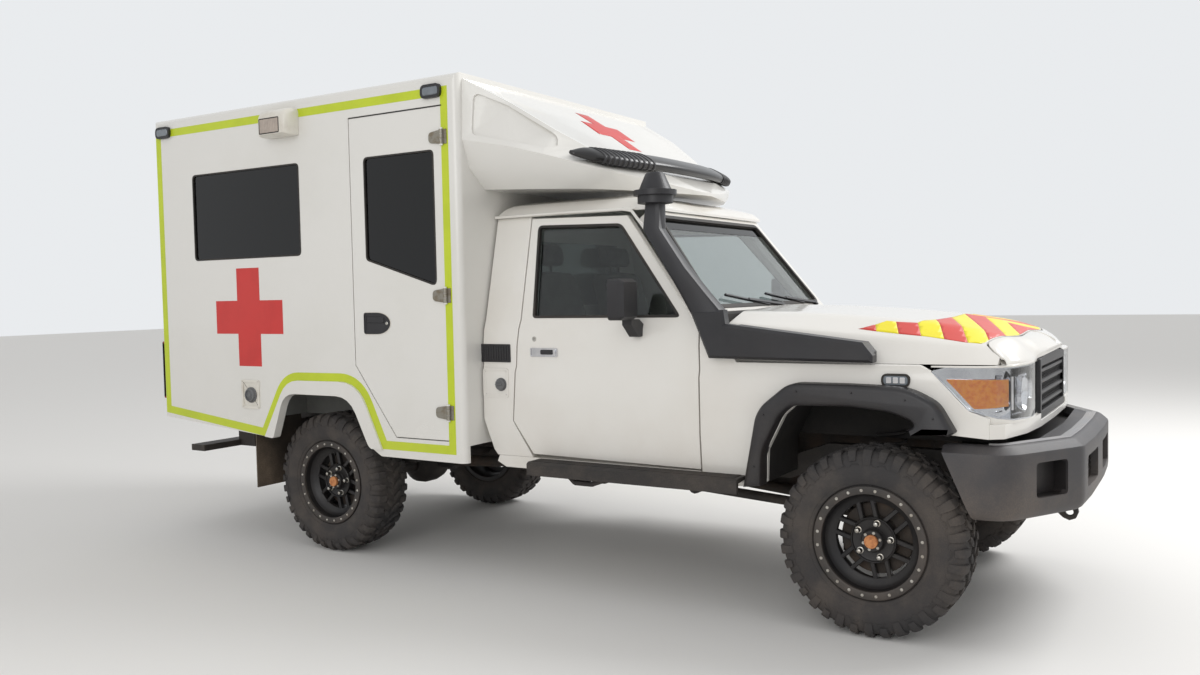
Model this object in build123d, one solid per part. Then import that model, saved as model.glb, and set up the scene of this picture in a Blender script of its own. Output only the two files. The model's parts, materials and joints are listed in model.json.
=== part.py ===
from build123d import *
from math import asin, atan2, cos, degrees, pi, radians, sin, tan
import os

# Military ambulance on a four-wheel-drive single-cab chassis, with a moulded treatment box.
# Millimetres. +X forward, +Y to the vehicle's left, +Z up, ground at z = 0.
# Cab outlines are written as (distance ahead of the front axle, height).
# Box outlines are written as (distance ahead of the rear axle, height).

# Whole vehicle
WHEELBASE = 3180
FRONT_OVERHANG = 790
CAB_REAR = -2025
CAB_GAP = 12
BOX_FRONT = WHEELBASE + CAB_REAR - CAB_GAP
BOX_LENGTH = 2429
BOX_REAR = BOX_FRONT - BOX_LENGTH
STEP_REACH = 150
REAR_OVERHANG = STEP_REACH - BOX_REAR
LENGTH = FRONT_OVERHANG + WHEELBASE + REAR_OVERHANG
FRONT_X = LENGTH / 2 - FRONT_OVERHANG
REAR_X = FRONT_X - WHEELBASE
SEAM = 6
GLASS = 5
TOUCH = 0.3
CUT = 100

# Wheels
TYRE_R = 402
TYRE_WIDTH = 265
TYRE_SIDES = 20
TREAD_DEPTH = 13
LUG_WIDTH = 72
LUG_INNER = (18, 58)
RIM_R = 216
RIM_WALL = 14
RIM_WIDTH = 205
RING_R = 240
RING_THICK = 14
RIM_SIDES = 24
DISC_DEPTH = 58
DISC_THICK = 26
SPOKE_PAIRS = 6
SPOKE_Y = 29
SPOKE_WIDTH = 20
HUB_BOSS_R = 92
HUB_CAP_R = 50
FRONT_TRACK = 1515
REAR_TRACK = 1465
HUB_R = 24
HUB_BORE_MID = 20
HUB_BORE_LENGTH = 160
HUB_CLEARANCE = 0.05
AXLE_R = 42

# Ladder frame
RAIL_Y = 375
RAIL_WIDTH = 60
RAIL_HEIGHT = 110
CAB_DECK_Z = 670
BOX_DECK_Z = 760

# Cab
DOOR_THICK = 80
FRAME_THICK = 45
SILL_Z = 585
SILL_TOP = 644
SILL_Y = 790
BELT_Z = 1345
ROOF_Z = 1885
ROOF_LOW = 1872
SKIN = 25

# Treatment box
BOX_HALF = 1000
BOX_TOP = 2599
BOX_SKIRT_Z = 612
BOX_WALL = 40
BOX_CORNER = 36

parts = {}


def keep(name, *shapes):
    """Files solids under the name of the sub-part that they make up."""
    parts.setdefault(name, []).extend(s for shape in shapes for s in shape.solids())


def bend(points, radii, steps=3):
    """The outline with corners rounded by a few facets each. radii is one radius or one for each corner."""
    rounded = []
    for number, corner in enumerate(points):
        radius = radii[number] if isinstance(radii, list) else radii
        here = Vector(*corner)
        back = Vector(*points[number - 1]) - here
        ahead = Vector(*points[(number + 1) % len(points)]) - here
        reach = radius / tan(radians(back.get_angle(ahead)) / 2) if radius else 0
        if not reach:
            rounded.append(corner)
            continue
        start, end = here + back.normalized() * reach, here + ahead.normalized() * reach
        for step in range(steps + 1):
            t = step / steps
            point = start * (1 - t) ** 2 + here * (2 * t * (1 - t)) + end * t ** 2
            rounded.append((point.X, point.Y))
    return rounded


def shrink(points, amount):
    """The outline moved inward by an amount, edge by edge."""
    moved = []
    turning = sum(a[0] * b[1] - b[0] * a[1] for a, b in zip(points, points[1:] + points[:1]))
    way = 1 if turning > 0 else -1
    for number, (x, y) in enumerate(points):
        before, after = points[number - 1], points[(number + 1) % len(points)]
        first = Vector(before[1] - y, x - before[0]).normalized() * way
        second = Vector(y - after[1], after[0] - x).normalized() * way
        miter = (first + second) * (amount / (1 + first.dot(second)))
        moved.append((x + miter.X, y + miter.Y))
    return moved


def outline(points, radius=0):
    face = Polygon(*points, align=None)
    return fillet(face.vertices(), radius) if radius else face


def across(points, y_low, y_high, radius=0):
    """A side outline of (x, z) points made solid from y_low to y_high."""
    plane = Plane(origin=(0, y_high, 0), x_dir=(1, 0, 0), z_dir=(0, -1, 0))
    return extrude(plane * outline(points, radius), y_high - y_low, dir=plane.z_dir)


def along(points, x_low, x_high, radius=0):
    """A front outline of (y, z) points made solid from x_low to x_high."""
    plane = Plane(origin=(x_low, 0, 0), x_dir=(0, 1, 0), z_dir=(1, 0, 0))
    return extrude(plane * outline(points, radius), x_high - x_low, dir=plane.z_dir)


def upward(points, z_low, z_high, radius=0):
    """A plan outline of (x, y) points made solid from z_low to z_high."""
    return extrude(Plane.XY.offset(z_low) * outline(points, radius), z_high - z_low, dir=(0, 0, 1))


def block(x_low, x_high, y_low, y_high, z_low, z_high):
    size = (x_high - x_low, y_high - y_low, z_high - z_low)
    middle = ((x_low + x_high) / 2, (y_low + y_high) / 2, (z_low + z_high) / 2)
    return Pos(*middle) * Box(*size)


def rod(start, end, radius, bore=0, sides=0):
    """A bar between two points, round or with flat sides, drilled through when a bore is given."""
    line = Edge.make_line(start, end)
    plane = Plane(origin=start, z_dir=line.tangent_at(0))
    shape = RegularPolygon(radius, sides) if sides else Circle(radius)
    bar = extrude(plane * shape, line.length)
    return bar - extrude(plane * Circle(bore), line.length) if bore else bar


def facet(points):
    return Face(Wire.make_polygon([Vector(*point) for point in points], close=True))


def is_flat(a, b, c, d):
    normal = (b - a).cross(c - a)
    return abs((d - a).dot(normal.normalized())) < 1e-4


def skin(rings, closed=False):
    """A solid with flat facets through rings of points that match one another, with its ends
    capped, or with the last ring joined to the first."""
    polygons = []
    steps = list(zip(rings, rings[1:]))
    if closed:
        steps.append((rings[-1], rings[0]))
    for low, high in steps:
        for number in range(len(low)):
            following = (number + 1) % len(low)
            quad = [low[number], low[following], high[following], high[number]]
            if is_flat(*[Vector(*point) for point in quad]):
                polygons.append(quad)
            else:
                polygons += [quad[:3], [quad[0], quad[2], quad[3]]]
    if not closed:
        polygons += [rings[0][::-1], rings[-1]]
    if signed_volume(polygons) < 0:
        polygons = [polygon[::-1] for polygon in polygons]
    return Solid(Shell([facet(polygon) for polygon in polygons]))


def signed_volume(polygons):
    """Six times the volume inside the polygons, below zero when they face inward."""
    total = 0
    for first, *others in polygons:
        for second, third in zip(others, others[1:]):
            total += Vector(*first).dot(Vector(*second).cross(Vector(*third)))
    return total


def turned(profile, sides):
    """A closed (y, radius) profile turned about the Y axis with flat facets."""
    rings = []
    for number in range(sides):
        angle = 2 * pi * (number + 0.5) / sides
        rings.append([(radius * cos(angle), y, radius * sin(angle)) for y, radius in profile])
    return skin(rings, closed=True)


def stations(rows, half_outline):
    """Rings across the vehicle from rows that start with x, closed by symmetry.
    half_outline turns a row's other values into (y, z) points from the right side to the middle."""
    rings = []
    for x, *row in rows:
        half = half_outline(*row)
        across_middle = [(-y, z) for y, z in reversed(half) if abs(y) > 1e-6]
        rings.append([(x, y, z) for y, z in half + across_middle])
    return skin(rings)


def flip(shape):
    """The same piece on the vehicle's other side."""
    return mirror(shape, about=Plane.XZ)


def pair(shape):
    return [shape, flip(shape)]


def cab(points):
    return [(FRONT_X + d, z) for d, z in points]


def box(points):
    return [(REAR_X + d, z) for d, z in points]


# Ladder frame: (distance ahead of the front axle, top of the rail)
RAIL_TOP = [
    (FRONT_OVERHANG - 36, 705),
    (430, 705),
    (300, 740),
    (-330, 740),
    (-520, CAB_DECK_Z),
    (-2060, CAB_DECK_Z),
    (-2260, BOX_DECK_Z),
    (BOX_REAR - WHEELBASE + 60, BOX_DECK_Z),
]
RAIL_IN = RAIL_Y - RAIL_WIDTH / 2
RAIL_OUT = RAIL_Y + RAIL_WIDTH / 2
CROSSMEMBERS = [  # distance ahead of the front axle, drop below the rail's top
    (600, 30),
    (230, 50),
    (-640, 35),
    (-1300, 35),
    (-1960, 35),
    (-2700, 35),
    (BOX_REAR - WHEELBASE + 746, 35),
    (BOX_REAR - WHEELBASE + 126, 35),
]
CROSS_DEEP = 60
CROSS_WIDE = 70


def rail_top(d):
    """Height of the rail's top at a distance from the front axle."""
    for (d1, z1), (d2, z2) in zip(RAIL_TOP, RAIL_TOP[1:]):
        if d2 <= d <= d1:
            return z1 + (z2 - z1) * (d1 - d) / (d1 - d2)
    return RAIL_TOP[-1][1]


def ladder_frame():
    low = [(d, z - RAIL_HEIGHT) for d, z in reversed(RAIL_TOP)]
    rail = across(cab(RAIL_TOP + low), RAIL_IN, RAIL_OUT)
    keep("ladder_frame", *pair(rail))
    for d, drop in CROSSMEMBERS:
        top = rail_top(d) - drop
        x = FRONT_X + d
        beam = block(x - CROSS_WIDE / 2, x + CROSS_WIDE / 2, -RAIL_IN, RAIL_IN, top - CROSS_DEEP, top)
        keep("ladder_frame", beam)


# Axles, steering knuckles and suspension
KINGPIN_Y = 595
KINGPIN_R = 15
BOSS_R = 36
BOSS_HALF = 55
LUG_THICK = 20
LUG_GAP = 3
ARM_LENGTH = 180
TIE_Z = 304
TIE_R = 13
TIE_EYE_R = 19
TIE_PIN_R = 9
SPRING_Y = 472
SPRING_R = 62
SPRING_WIRE = 14
LEAF_Y = 520
LEAF_WIDTH = 70
LEAF_THICK = 14
ARM_Y = 352
DIFF_Y = 190
FRONT_NOSE = 230
REAR_NOSE = 250
SHAFT_GAP = 4
ENGINE_HALF = 240
PIPE_R = 25
TOWER_Z = 700
ROD_SIDES = 12
TANK_CORNER = 30
DIFF_ROWS = [(-118, 52), (-70, 104), (-30, 114), (30, 114), (70, 104), (118, 52)]
REAR_DIFF_SCALE = 1.18


def front_axle():
    half = KINGPIN_Y - BOSS_R / 2
    beam = rod((FRONT_X, -half, TYRE_R), (FRONT_X, half, TYRE_R), AXLE_R, sides=ROD_SIDES)
    housing = Pos(FRONT_X, -DIFF_Y, TYRE_R) * turned_disc(DIFF_ROWS, 2 * ROD_SIDES)
    nose_z = TYRE_R + 20
    nose = rod((FRONT_X - 60, -DIFF_Y, nose_z), (FRONT_X - FRONT_NOSE, -DIFF_Y, nose_z), 44, sides=ROD_SIDES)
    axle = beam + housing + nose
    for side in (-1, 1):
        foot = (FRONT_X, side * KINGPIN_Y, TYRE_R - BOSS_HALF)
        head = (FRONT_X, side * KINGPIN_Y, TYRE_R + BOSS_HALF)
        axle = axle + rod(foot, head, BOSS_R) - rod(foot, head, KINGPIN_R + HUB_CLEARANCE)
        seat_z = TYRE_R + AXLE_R
        low, high = (FRONT_X, side * SPRING_Y, seat_z - 12), (FRONT_X, side * SPRING_Y, seat_z + 8)
        axle = axle + rod(low, high, SPRING_R + 8, sides=ROD_SIDES)
    keep("front_axle", axle)


def knuckle():
    """The right steering knuckle: kingpin, two lugs, web, arm and wheel spindle."""
    y = -KINGPIN_Y
    z_low = TYRE_R - BOSS_HALF - LUG_GAP - LUG_THICK
    z_high = TYRE_R + BOSS_HALF + LUG_GAP + LUG_THICK
    pin = rod((FRONT_X, y, z_low), (FRONT_X, y, z_high), KINGPIN_R)
    web = block(FRONT_X - 42, FRONT_X + 42, y - 70, y - 42, z_low, z_high)
    lug = upward([(FRONT_X - 30, y + 30), (FRONT_X + 30, y + 30), (FRONT_X + 42, y - 60),
                  (FRONT_X - 42, y - 60)], 0, LUG_THICK)
    lower = Pos(0, 0, z_low) * lug
    upper = Pos(0, 0, z_high - LUG_THICK) * lug
    arm = block(FRONT_X - ARM_LENGTH - 18, FRONT_X, y - 16, y + 16, z_low, z_low + LUG_THICK)
    ball = rod((FRONT_X - ARM_LENGTH, y, TIE_Z - 16), (FRONT_X - ARM_LENGTH, y, z_low + 2), TIE_PIN_R)
    spindle = rod((FRONT_X, y - 60, TYRE_R), (FRONT_X, -hub_face(FRONT_TRACK), TYRE_R), HUB_R)
    return pin + web + lower + upper + arm + ball + spindle


def hub_face(track):
    """Distance of the spindle's end from the vehicle's middle."""
    return track / 2 + 68


def tie_rod():
    x = FRONT_X - ARM_LENGTH
    bar = rod((x, -KINGPIN_Y + TIE_EYE_R - 4, TIE_Z), (x, KINGPIN_Y - TIE_EYE_R + 4, TIE_Z), TIE_R)
    for side, bore in ((-1, TIE_PIN_R + HUB_CLEARANCE), (1, TIE_PIN_R + 1)):
        low = (x, side * KINGPIN_Y, TIE_Z - TIE_R)
        high = (x, side * KINGPIN_Y, TIE_Z + TIE_R)
        bar = bar + rod(low, high, TIE_EYE_R) - rod(low, high, bore)
    keep("tie_rod", bar)


def rear_axle():
    end = hub_face(REAR_TRACK)
    flange = REAR_TRACK / 2 - RIM_WIDTH / 2 - 6
    beam = rod((REAR_X, -flange, TYRE_R), (REAR_X, flange, TYRE_R), AXLE_R + 4, sides=ROD_SIDES)
    shaft = rod((REAR_X, -end, TYRE_R), (REAR_X, end, TYRE_R), HUB_R)
    housing = Pos(REAR_X, 0, TYRE_R) * scale(turned_disc(DIFF_ROWS, 2 * ROD_SIDES), REAR_DIFF_SCALE)
    nose = rod((REAR_X, 0, TYRE_R + 15), (REAR_X + REAR_NOSE, 0, TYRE_R + 15), 50, sides=ROD_SIDES)
    keep("rear_axle", beam + shaft + housing + nose)


def coil_spring(x, y, z_low, z_high):
    """A coil spring as a stack of rings joined to a thin core sleeve."""
    spring = rod((x, y, z_low), (x, y, z_high), SPRING_R - SPRING_WIRE, sides=ROD_SIDES)
    turns = 5
    pitch = (z_high - z_low) / turns
    for turn in range(turns):
        z = z_low + pitch * (turn + 0.5) - SPRING_WIRE / 2
        spring = spring + rod((x, y, z), (x, y, z + SPRING_WIRE), SPRING_R, sides=ROD_SIDES)
    return spring


def suspension():
    seat = TYRE_R + AXLE_R + 8
    spring = coil_spring(FRONT_X, -SPRING_Y, seat, TOWER_Z)
    tower = block(FRONT_X - 70, FRONT_X + 70, -SPRING_Y - 66, -RAIL_OUT, TOWER_Z, TOWER_Z + 38)
    keep("suspension", *pair(spring + tower))
    start = (FRONT_X - AXLE_R - 3, -ARM_Y, TYRE_R)
    heel = (FRONT_X - 1050, -ARM_Y, 470)
    arm = rod(start, heel, 24, sides=ROD_SIDES)
    eye = rod((heel[0], -ARM_Y - 30, heel[2]), (heel[0], -ARM_Y + 30, heel[2]), 36, sides=ROD_SIDES)
    hanger = block(heel[0] - 30, heel[0] + 30, -ARM_Y - 30, -ARM_Y + 30, heel[2], CAB_DECK_Z - RAIL_HEIGHT)
    keep("suspension", *pair(arm + eye + hanger))
    base = TYRE_R + AXLE_R + 4
    leaves = [(620, 0), (520, 1), (400, 2), (280, 3)]
    pack = None
    for half, order in leaves:
        z = base + (3 - order) * LEAF_THICK
        rise = 60 * half / 620
        points = [(-half, z + rise), (0, z), (half, z + rise), (half, z + rise + LEAF_THICK),
                  (0, z + LEAF_THICK), (-half, z + rise + LEAF_THICK)]
        leaf = across(box(points), -LEAF_Y - LEAF_WIDTH / 2, -LEAF_Y + LEAF_WIDTH / 2)
        pack = leaf if pack is None else pack + leaf
    rail_low = BOX_DECK_Z - RAIL_HEIGHT
    for end in (-600, 600):
        x = REAR_X + end
        shackle = block(x - 20, x + 20, -LEAF_Y - 20, -RAIL_OUT, base + 90, rail_low + 60)
        pack = pack + shackle
    keep("suspension", *pair(pack))


# Engine, gearbox and tank
def drivetrain():
    engine = block(FRONT_X - 560, FRONT_X + 120, -ENGINE_HALF, ENGINE_HALF, 560, 1120)
    mount = block(FRONT_X - 250, FRONT_X - 190, -RAIL_IN, -ENGINE_HALF, 640, 690)
    keep("powertrain", engine + mount + flip(mount))
    x = FRONT_X - 560 - TOUCH
    low = CAB_DECK_Z - 35 - CROSS_DEEP - TOUCH
    gearbox = block(x - 620, x, -130, 130, low - 130, low)
    gearbox = gearbox + block(x - 30, x, -130, 130, low - 20, low + 120)
    transfer = block(x - 900, x - 620, -220, 110, low - 140, low)
    rear_end = (REAR_X + REAR_NOSE + SHAFT_GAP, 0, TYRE_R + 15)
    rear_shaft = rod((x - 900, 0, low - 60), rear_end, 34, sides=ROD_SIDES)
    front_end_point = (FRONT_X - FRONT_NOSE - SHAFT_GAP, -DIFF_Y, TYRE_R + 20)
    front_shaft = rod((x - 620, -DIFF_Y, low - 60), front_end_point, 28, sides=ROD_SIDES)
    keep("powertrain", gearbox + transfer + rear_shaft + front_shaft)
    tank_x = FRONT_X - 2000
    near = RAIL_OUT + TOUCH
    section = bend([(near, 400), (740, 400), (740, 620), (near, 620)], TANK_CORNER)
    keep("fuel_tank", along(section, tank_x, tank_x + 560))
    y, z = ENGINE_HALF + PIPE_R + TOUCH, 500
    down = rod((FRONT_X - 450, y, z), (FRONT_X - 450, y, 640), PIPE_R, sides=ROD_SIDES)
    front_pipe = rod((FRONT_X - 430, y, z), (x - 1000, y, z), PIPE_R, sides=ROD_SIDES)
    silencer = rod((x - 1000, y, z), (x - 1400, y, z), 55, sides=ROD_SIDES)
    tail = rod((x - 1400, y, z), (REAR_X + BOX_REAR + 160, y, z), PIPE_R, sides=ROD_SIDES)
    hanger_d, hanger_drop = CROSSMEMBERS[-2]
    hanger_x = FRONT_X + hanger_d
    hanger_top = BOX_DECK_Z - hanger_drop - CROSS_DEEP - TOUCH
    hanger = block(hanger_x - 15, hanger_x + 15, y - 12, y + 12, z, hanger_top)
    keep("powertrain", down + front_pipe + silencer + tail + hanger)


# Bumper, tow eyes and rear step
BUMPER_HALF = 885
BUMPER_TOP = 806
BUMPER_WALL = 30
BUMPER_PLAN = [  # ahead of the front axle, half width
    (270, BUMPER_HALF),
    (588, BUMPER_HALF),
    (628, 860),
    (764, 492),
    (784, 425),
    (FRONT_OVERHANG, 200),
]
BUMPER_LEVELS = [  # height, distance inside the plan
    (538, 34),
    (562, 8),
    (590, 0),
    (BUMPER_TOP, 0),
    (828, 26),
    (838, 52),
]
BUMPER_NOSE_GAP = [  # room for the wings and the grille panel
    (200, 815),
    (530, 815),
    (610, 560),
    (640, 0),
]
FOG_POCKET = (-80, 80, 620, 768)
FRONT_SLOT = (90, 395, 622, 752)
POCKET_DEPTH = 42
TOW_BORE_R = 16
TOW_EYE_R = 36
TOW_THICK = 24
TOW_Z = 508


def whole_plan(half):
    """A plan outline from its right half, given as (ahead of the front axle, half width) rows."""
    right = [(FRONT_X + d, -y) for d, y in half]
    return right + [(x, -y) for x, y in reversed(right) if y]


def front_bumper():
    plan = whole_plan(BUMPER_PLAN)
    rings = [[(x, y, z) for x, y in shrink(plan, inset)] for z, inset in BUMPER_LEVELS]
    shell = skin(rings)
    shell = shell - upward(shrink(plan, BUMPER_WALL), BUMPER_LEVELS[0][0] - 1, BUMPER_TOP)
    shell = shell - upward(whole_plan(BUMPER_NOSE_GAP), BUMPER_TOP - 1, BUMPER_TOP + 60)
    lip = across(cab([(304, 842), (396, 600), (420, 500), (0, 500), (0, 842)]), -2000, 2000)
    shell = shell - lip
    (d1, y1), (d2, y2) = BUMPER_PLAN[2:4]
    low, high, z_low, z_high = FOG_POCKET
    turn = degrees(atan2(d2 - d1, y1 - y2))
    for side in (-1, 1):
        pocket = block(-POCKET_DEPTH, POCKET_DEPTH, low, high, z_low, z_high)
        place = Pos(FRONT_X + (d1 + d2) / 2, side * (y1 + y2) / 2, 0) * Rot(0, 0, side * turn)
        shell = shell - place * pocket
        near, far = sorted((side * FRONT_SLOT[0], side * FRONT_SLOT[1]))
        front = FRONT_X + FRONT_OVERHANG
        shell = shell - block(front - POCKET_DEPTH, front + 20, near, far, *FRONT_SLOT[2:])
    keep("front_bumper", shell)


def tow_eyes():
    x = FRONT_X + FRONT_OVERHANG - 75
    top = RAIL_TOP[0][1] - RAIL_HEIGHT - TOUCH
    for side in (-1, 1):
        y = side * RAIL_Y
        eye = [(x - 6 + TOW_EYE_R * cos(radians(turn)), TOW_Z + TOW_EYE_R * sin(radians(turn)))
               for turn in (0, -45, -90, -135)]
        plate = across([(x - 150, top), (x + 10, top)] + eye, y - TOW_THICK / 2, y + TOW_THICK / 2)
        bore = rod((x - 6, y - 50, TOW_Z), (x - 6, y + 50, TOW_Z), TOW_BORE_R)
        keep("tow_eyes", plate - bore)


def rear_step():
    rear = REAR_X - REAR_OVERHANG
    front = REAR_X + BOX_REAR
    tread = block(rear, front - 20, -700, 700, 480, 520)
    stays = [block(front - 40, front + 120, side * RAIL_Y - 30, side * RAIL_Y + 30, 480, 650 - TOUCH)
             for side in (-1, 1)]
    keep("steps", tread + stays[0] + stays[1])


def mud_flaps():
    x = REAR_X - TYRE_R - 90
    keep("mud_flaps", *pair(block(x - 8, x, 50 - BOX_HALF, -600, 350, BOX_DECK_Z)))


# Wheels
def tyre():
    """The right-hand tyre: a carcass with one shoulder lug to each facet and side, staggered."""
    half = TYRE_WIDTH / 2
    base = TYRE_R - TREAD_DEPTH
    bead = (RIM_R + TOUCH) / cos(pi / TYRE_SIDES)
    seat = RIM_WIDTH / 2 - TOUCH
    ring = (RING_R + TOUCH) / cos(pi / TYRE_SIDES)
    profile = [(-seat, bead), (-seat, ring), (-half, 300), (-half + 7, 366), (-half + 32, base),
               (half - 32, base), (half - 7, 366), (half, 300), (RIM_WIDTH / 2, bead)]
    carcass = turned(profile, TYRE_SIDES)
    lugs = []
    crest = (TYRE_R ** 2 - (LUG_WIDTH / 2) ** 2) ** 0.5
    for side in (-1, 1):
        for number in range(TYRE_SIDES):
            inner = LUG_INNER[number % 2]
            section = [(inner, base - 12), (inner, crest), (half - 30, crest), (half - 3, 362),
                       (half - 32, 362)]
            plane = Plane(origin=(0, 0, 0), x_dir=(0, side, 0), z_dir=(side, 0, 0))
            lug = extrude(plane * outline(section), LUG_WIDTH / 2, both=True)
            turn = 360 / TYRE_SIDES * (number + (side + 1) / 4)
            lugs.append(Rot(0, turn, 0) * lug)
    return Rot(0, degrees(asin(LUG_WIDTH / 2 / TYRE_R)), 0) * carcass.fuse(*lugs)


def rim():
    """The right-hand wheel, outer face towards -Y: barrel, bolted ring, twin spokes and hub."""
    out = -RIM_WIDTH / 2
    well = RIM_R - RIM_WALL
    barrel = turned([(out - RING_THICK, well - 4), (out - RING_THICK, RING_R), (out, RING_R), (out, RIM_R),
                     (-out, RIM_R), (-out, well), (out + 20, well)], RIM_SIDES)
    face = out + DISC_DEPTH
    plane = Plane(origin=(0, face, 0), x_dir=(1, 0, 0), z_dir=(0, 1, 0))
    spokes = []
    for number in range(SPOKE_PAIRS):
        for side in (-1, 1):
            place = plane * Pos((well + HUB_BOSS_R) / 2 - 5, side * SPOKE_Y)
            spoke = extrude(place * Rectangle(well - HUB_BOSS_R + 18, SPOKE_WIDTH), DISC_THICK)
            spokes.append(Rot(0, 360 / SPOKE_PAIRS * number, 0) * spoke)
    boss = turned_disc([(face - 8, HUB_BOSS_R), (face + DISC_THICK + 24, HUB_BOSS_R)], RIM_SIDES)
    cap = turned_disc([(face - 46, HUB_CAP_R - 6), (face - 40, HUB_CAP_R), (face, HUB_CAP_R)], RIM_SIDES)
    wheel = barrel.fuse(boss, cap, *spokes)
    bore = Rot(90, 0, 0) * Pos(0, 0, HUB_BORE_MID) * Cylinder(HUB_R + HUB_CLEARANCE, HUB_BORE_LENGTH)
    return wheel - bore


def turned_disc(rows, sides):
    """A solid disc about the Y axis with flat facets, from (y, radius) rows."""
    rings = []
    for y, radius in rows:
        angles = [2 * pi * (number + 0.5) / sides for number in range(sides)]
        rings.append([(radius * cos(angle), y, radius * sin(angle)) for angle in angles])
    return skin(rings)


WHEELS = [  # name, axle x, track, side
    ("front_right", FRONT_X, FRONT_TRACK, -1),
    ("front_left", FRONT_X, FRONT_TRACK, 1),
    ("rear_right", REAR_X, REAR_TRACK, -1),
    ("rear_left", REAR_X, REAR_TRACK, 1),
]


def wheels():
    rubber, metal = tyre(), rim()
    for name, x, track, side in WHEELS:
        place = Pos(x, -track / 2, TYRE_R)
        for node, piece in (("tyre_", rubber), ("rim_", metal)):
            placed = place * piece
            keep(node + name, placed if side < 0 else flip(placed))


# Cab: half widths of the side skin by height, with the pressed crease and swage lines
SIDE_SKIN = [
    (560, 832),
    (819, 852),
    (1076, 854),
    (1107, 845),
    (1212, 847),
    (1295, 838),
    (BELT_Z, 820),
    (ROOF_Z, 690),
]
DOOR_SEAM_HALF = 847
DOOR = [
    (-1797, 1341),
    (-1802, 1862),
    (-1232, 1848),
    (-832, 1352),
    (-787, 1295),
    (-787, 652),
    (-1727, 663),
    (-1837, 827),
]
DOOR_WINDOW = [
    (-1726, 1352),
    (-1756, 1822),
    (-1262, 1808),
    (-890, 1352),
]
DOOR_WINDOW_RADII = [20, 26, 60, 12]
MIRROR_CORNER = 24
MIRROR_DEPTH = 80
MIRROR_RIM = 9
MIRROR_GLASS_DEPTH = 7
QUARTER = [
    (CAB_REAR, ROOF_LOW - TOUCH),
    (CAB_REAR, 1347),
    (-2028, 829),
    (-1975, 671),
    (-1954, SILL_TOP + TOUCH),
    (-1730, SILL_TOP + TOUCH),
    (-1843, 827),
    (-1803, 1341),
    (-1808, ROOF_LOW - TOUCH),
]


def side_skin(x_low, x_high):
    """The cab's right side wall between two distances from the front axle."""
    outer = [(-half, z) for z, half in SIDE_SKIN]
    inner = []
    for z, half in reversed(SIDE_SKIN):
        thick = DOOR_THICK if z < BELT_Z else FRAME_THICK
        inner.append((-half + thick, z))
    return along(outer + inner, FRONT_X + x_low, FRONT_X + x_high)


def skin_half(z):
    """Half width of the cab's side skin at a height."""
    for (z1, half1), (z2, half2) in zip(SIDE_SKIN, SIDE_SKIN[1:]):
        if z1 <= z <= z2:
            return half1 + (half2 - half1) * (z - z1) / (z2 - z1)
    return SIDE_SKIN[-1][1]


def glass_skin(depth):
    """A thin sheet that follows the side wall's slope above the belt, set in by a depth."""
    (z1, half1), (z2, half2) = SIDE_SKIN[-2:]
    outer = [(depth - half1, z1), (depth - half2, z2)]
    return along(outer + [(y + GLASS, z) for y, z in reversed(outer)], FRONT_X + CAB_REAR - CUT, FRONT_X)


def cab_door():
    reach = (-1000, 0)
    opening = across(bend(cab(DOOR_WINDOW), DOOR_WINDOW_RADII), *reach)
    door = (side_skin(-2100, -700) & across(cab(DOOR), *reach)) - opening
    pane = glass_skin(18) & opening
    housing_x, housing_y = FRONT_X - 1140, -905
    corners = [(housing_y - 155, 1344), (housing_y, 1344), (housing_y, 1535), (housing_y - 155, 1535)]
    front = bend(corners, MIRROR_CORNER)
    levels = [(0, 0), (MIRROR_DEPTH - 22, 0), (MIRROR_DEPTH, 16)]
    housing = skin([[(housing_x + depth, y, z) for y, z in shrink(front, inset)] for depth, inset in levels])
    recess = upward(shrink(front, MIRROR_RIM), 0, MIRROR_GLASS_DEPTH)
    recess = Plane(origin=(housing_x, 0, 0), x_dir=(0, 1, 0), z_dir=(1, 0, 0)) * recess
    housing = housing - recess
    foot = [(-skin_half(z) - TOUCH, z) for z in (1262, 1294.9, 1320)]
    foot += [(-870, 1345), (-945, 1345), (-945, 1320), (-880, 1262)]
    stalk = along(foot, housing_x + 10, housing_x + 60)
    mirror_piece = housing + stalk
    return door, pane, mirror_piece


def doors():
    door, pane, mirror_piece = cab_door()
    for side, change in (("right", lambda s: s), ("left", flip)):
        keep("door_" + side, change(door))
        keep("door_glass_" + side, change(pane))
        keep("mirror_" + side, change(mirror_piece))


def pillar_flange():
    """The strip behind the door's rear edge that the door shuts against."""
    near = [(-half + DOOR_THICK + TOUCH, z) for z, half in SIDE_SKIN if 800 < z < BELT_Z]
    far = [(y + 15, z) for y, z in reversed(near)]
    return along(near + far, FRONT_X - 1875, FRONT_X - 1760)


def cab_rear():
    quarter = side_skin(-2100, -1700) & across(cab(QUARTER), -1000, 0)
    keep("cab_rear", *pair(quarter))
    keep("cab_rear", *pair(pillar_flange()))
    x = FRONT_X + CAB_REAR
    inner = DOOR_THICK + TOUCH
    rows = [(z, half - (inner if z < BELT_Z else FRAME_THICK + TOUCH)) for z, half in SIDE_SKIN[1:-1]]
    rows.append((ROOF_LOW - TOUCH, SIDE_SKIN[-1][1] - FRAME_THICK))
    points = [(-half, z) for z, half in rows] + [(half, z) for z, half in reversed(rows)]
    points[0], points[-1] = (points[0][0], CAB_DECK_Z + 30), (points[-1][0], CAB_DECK_Z + 30)
    wall = along(points, x, x + SKIN)
    window = along([(-560, 1400), (-500, 1760), (500, 1760), (560, 1400)], x - 10, x + SKIN + 10)
    keep("cab_rear", wall - window)
    pane = along([(-560, 1400), (-500, 1760), (500, 1760), (560, 1400)], x + 10, x + 10 + GLASS)
    keep("cab_glass", pane)


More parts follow.
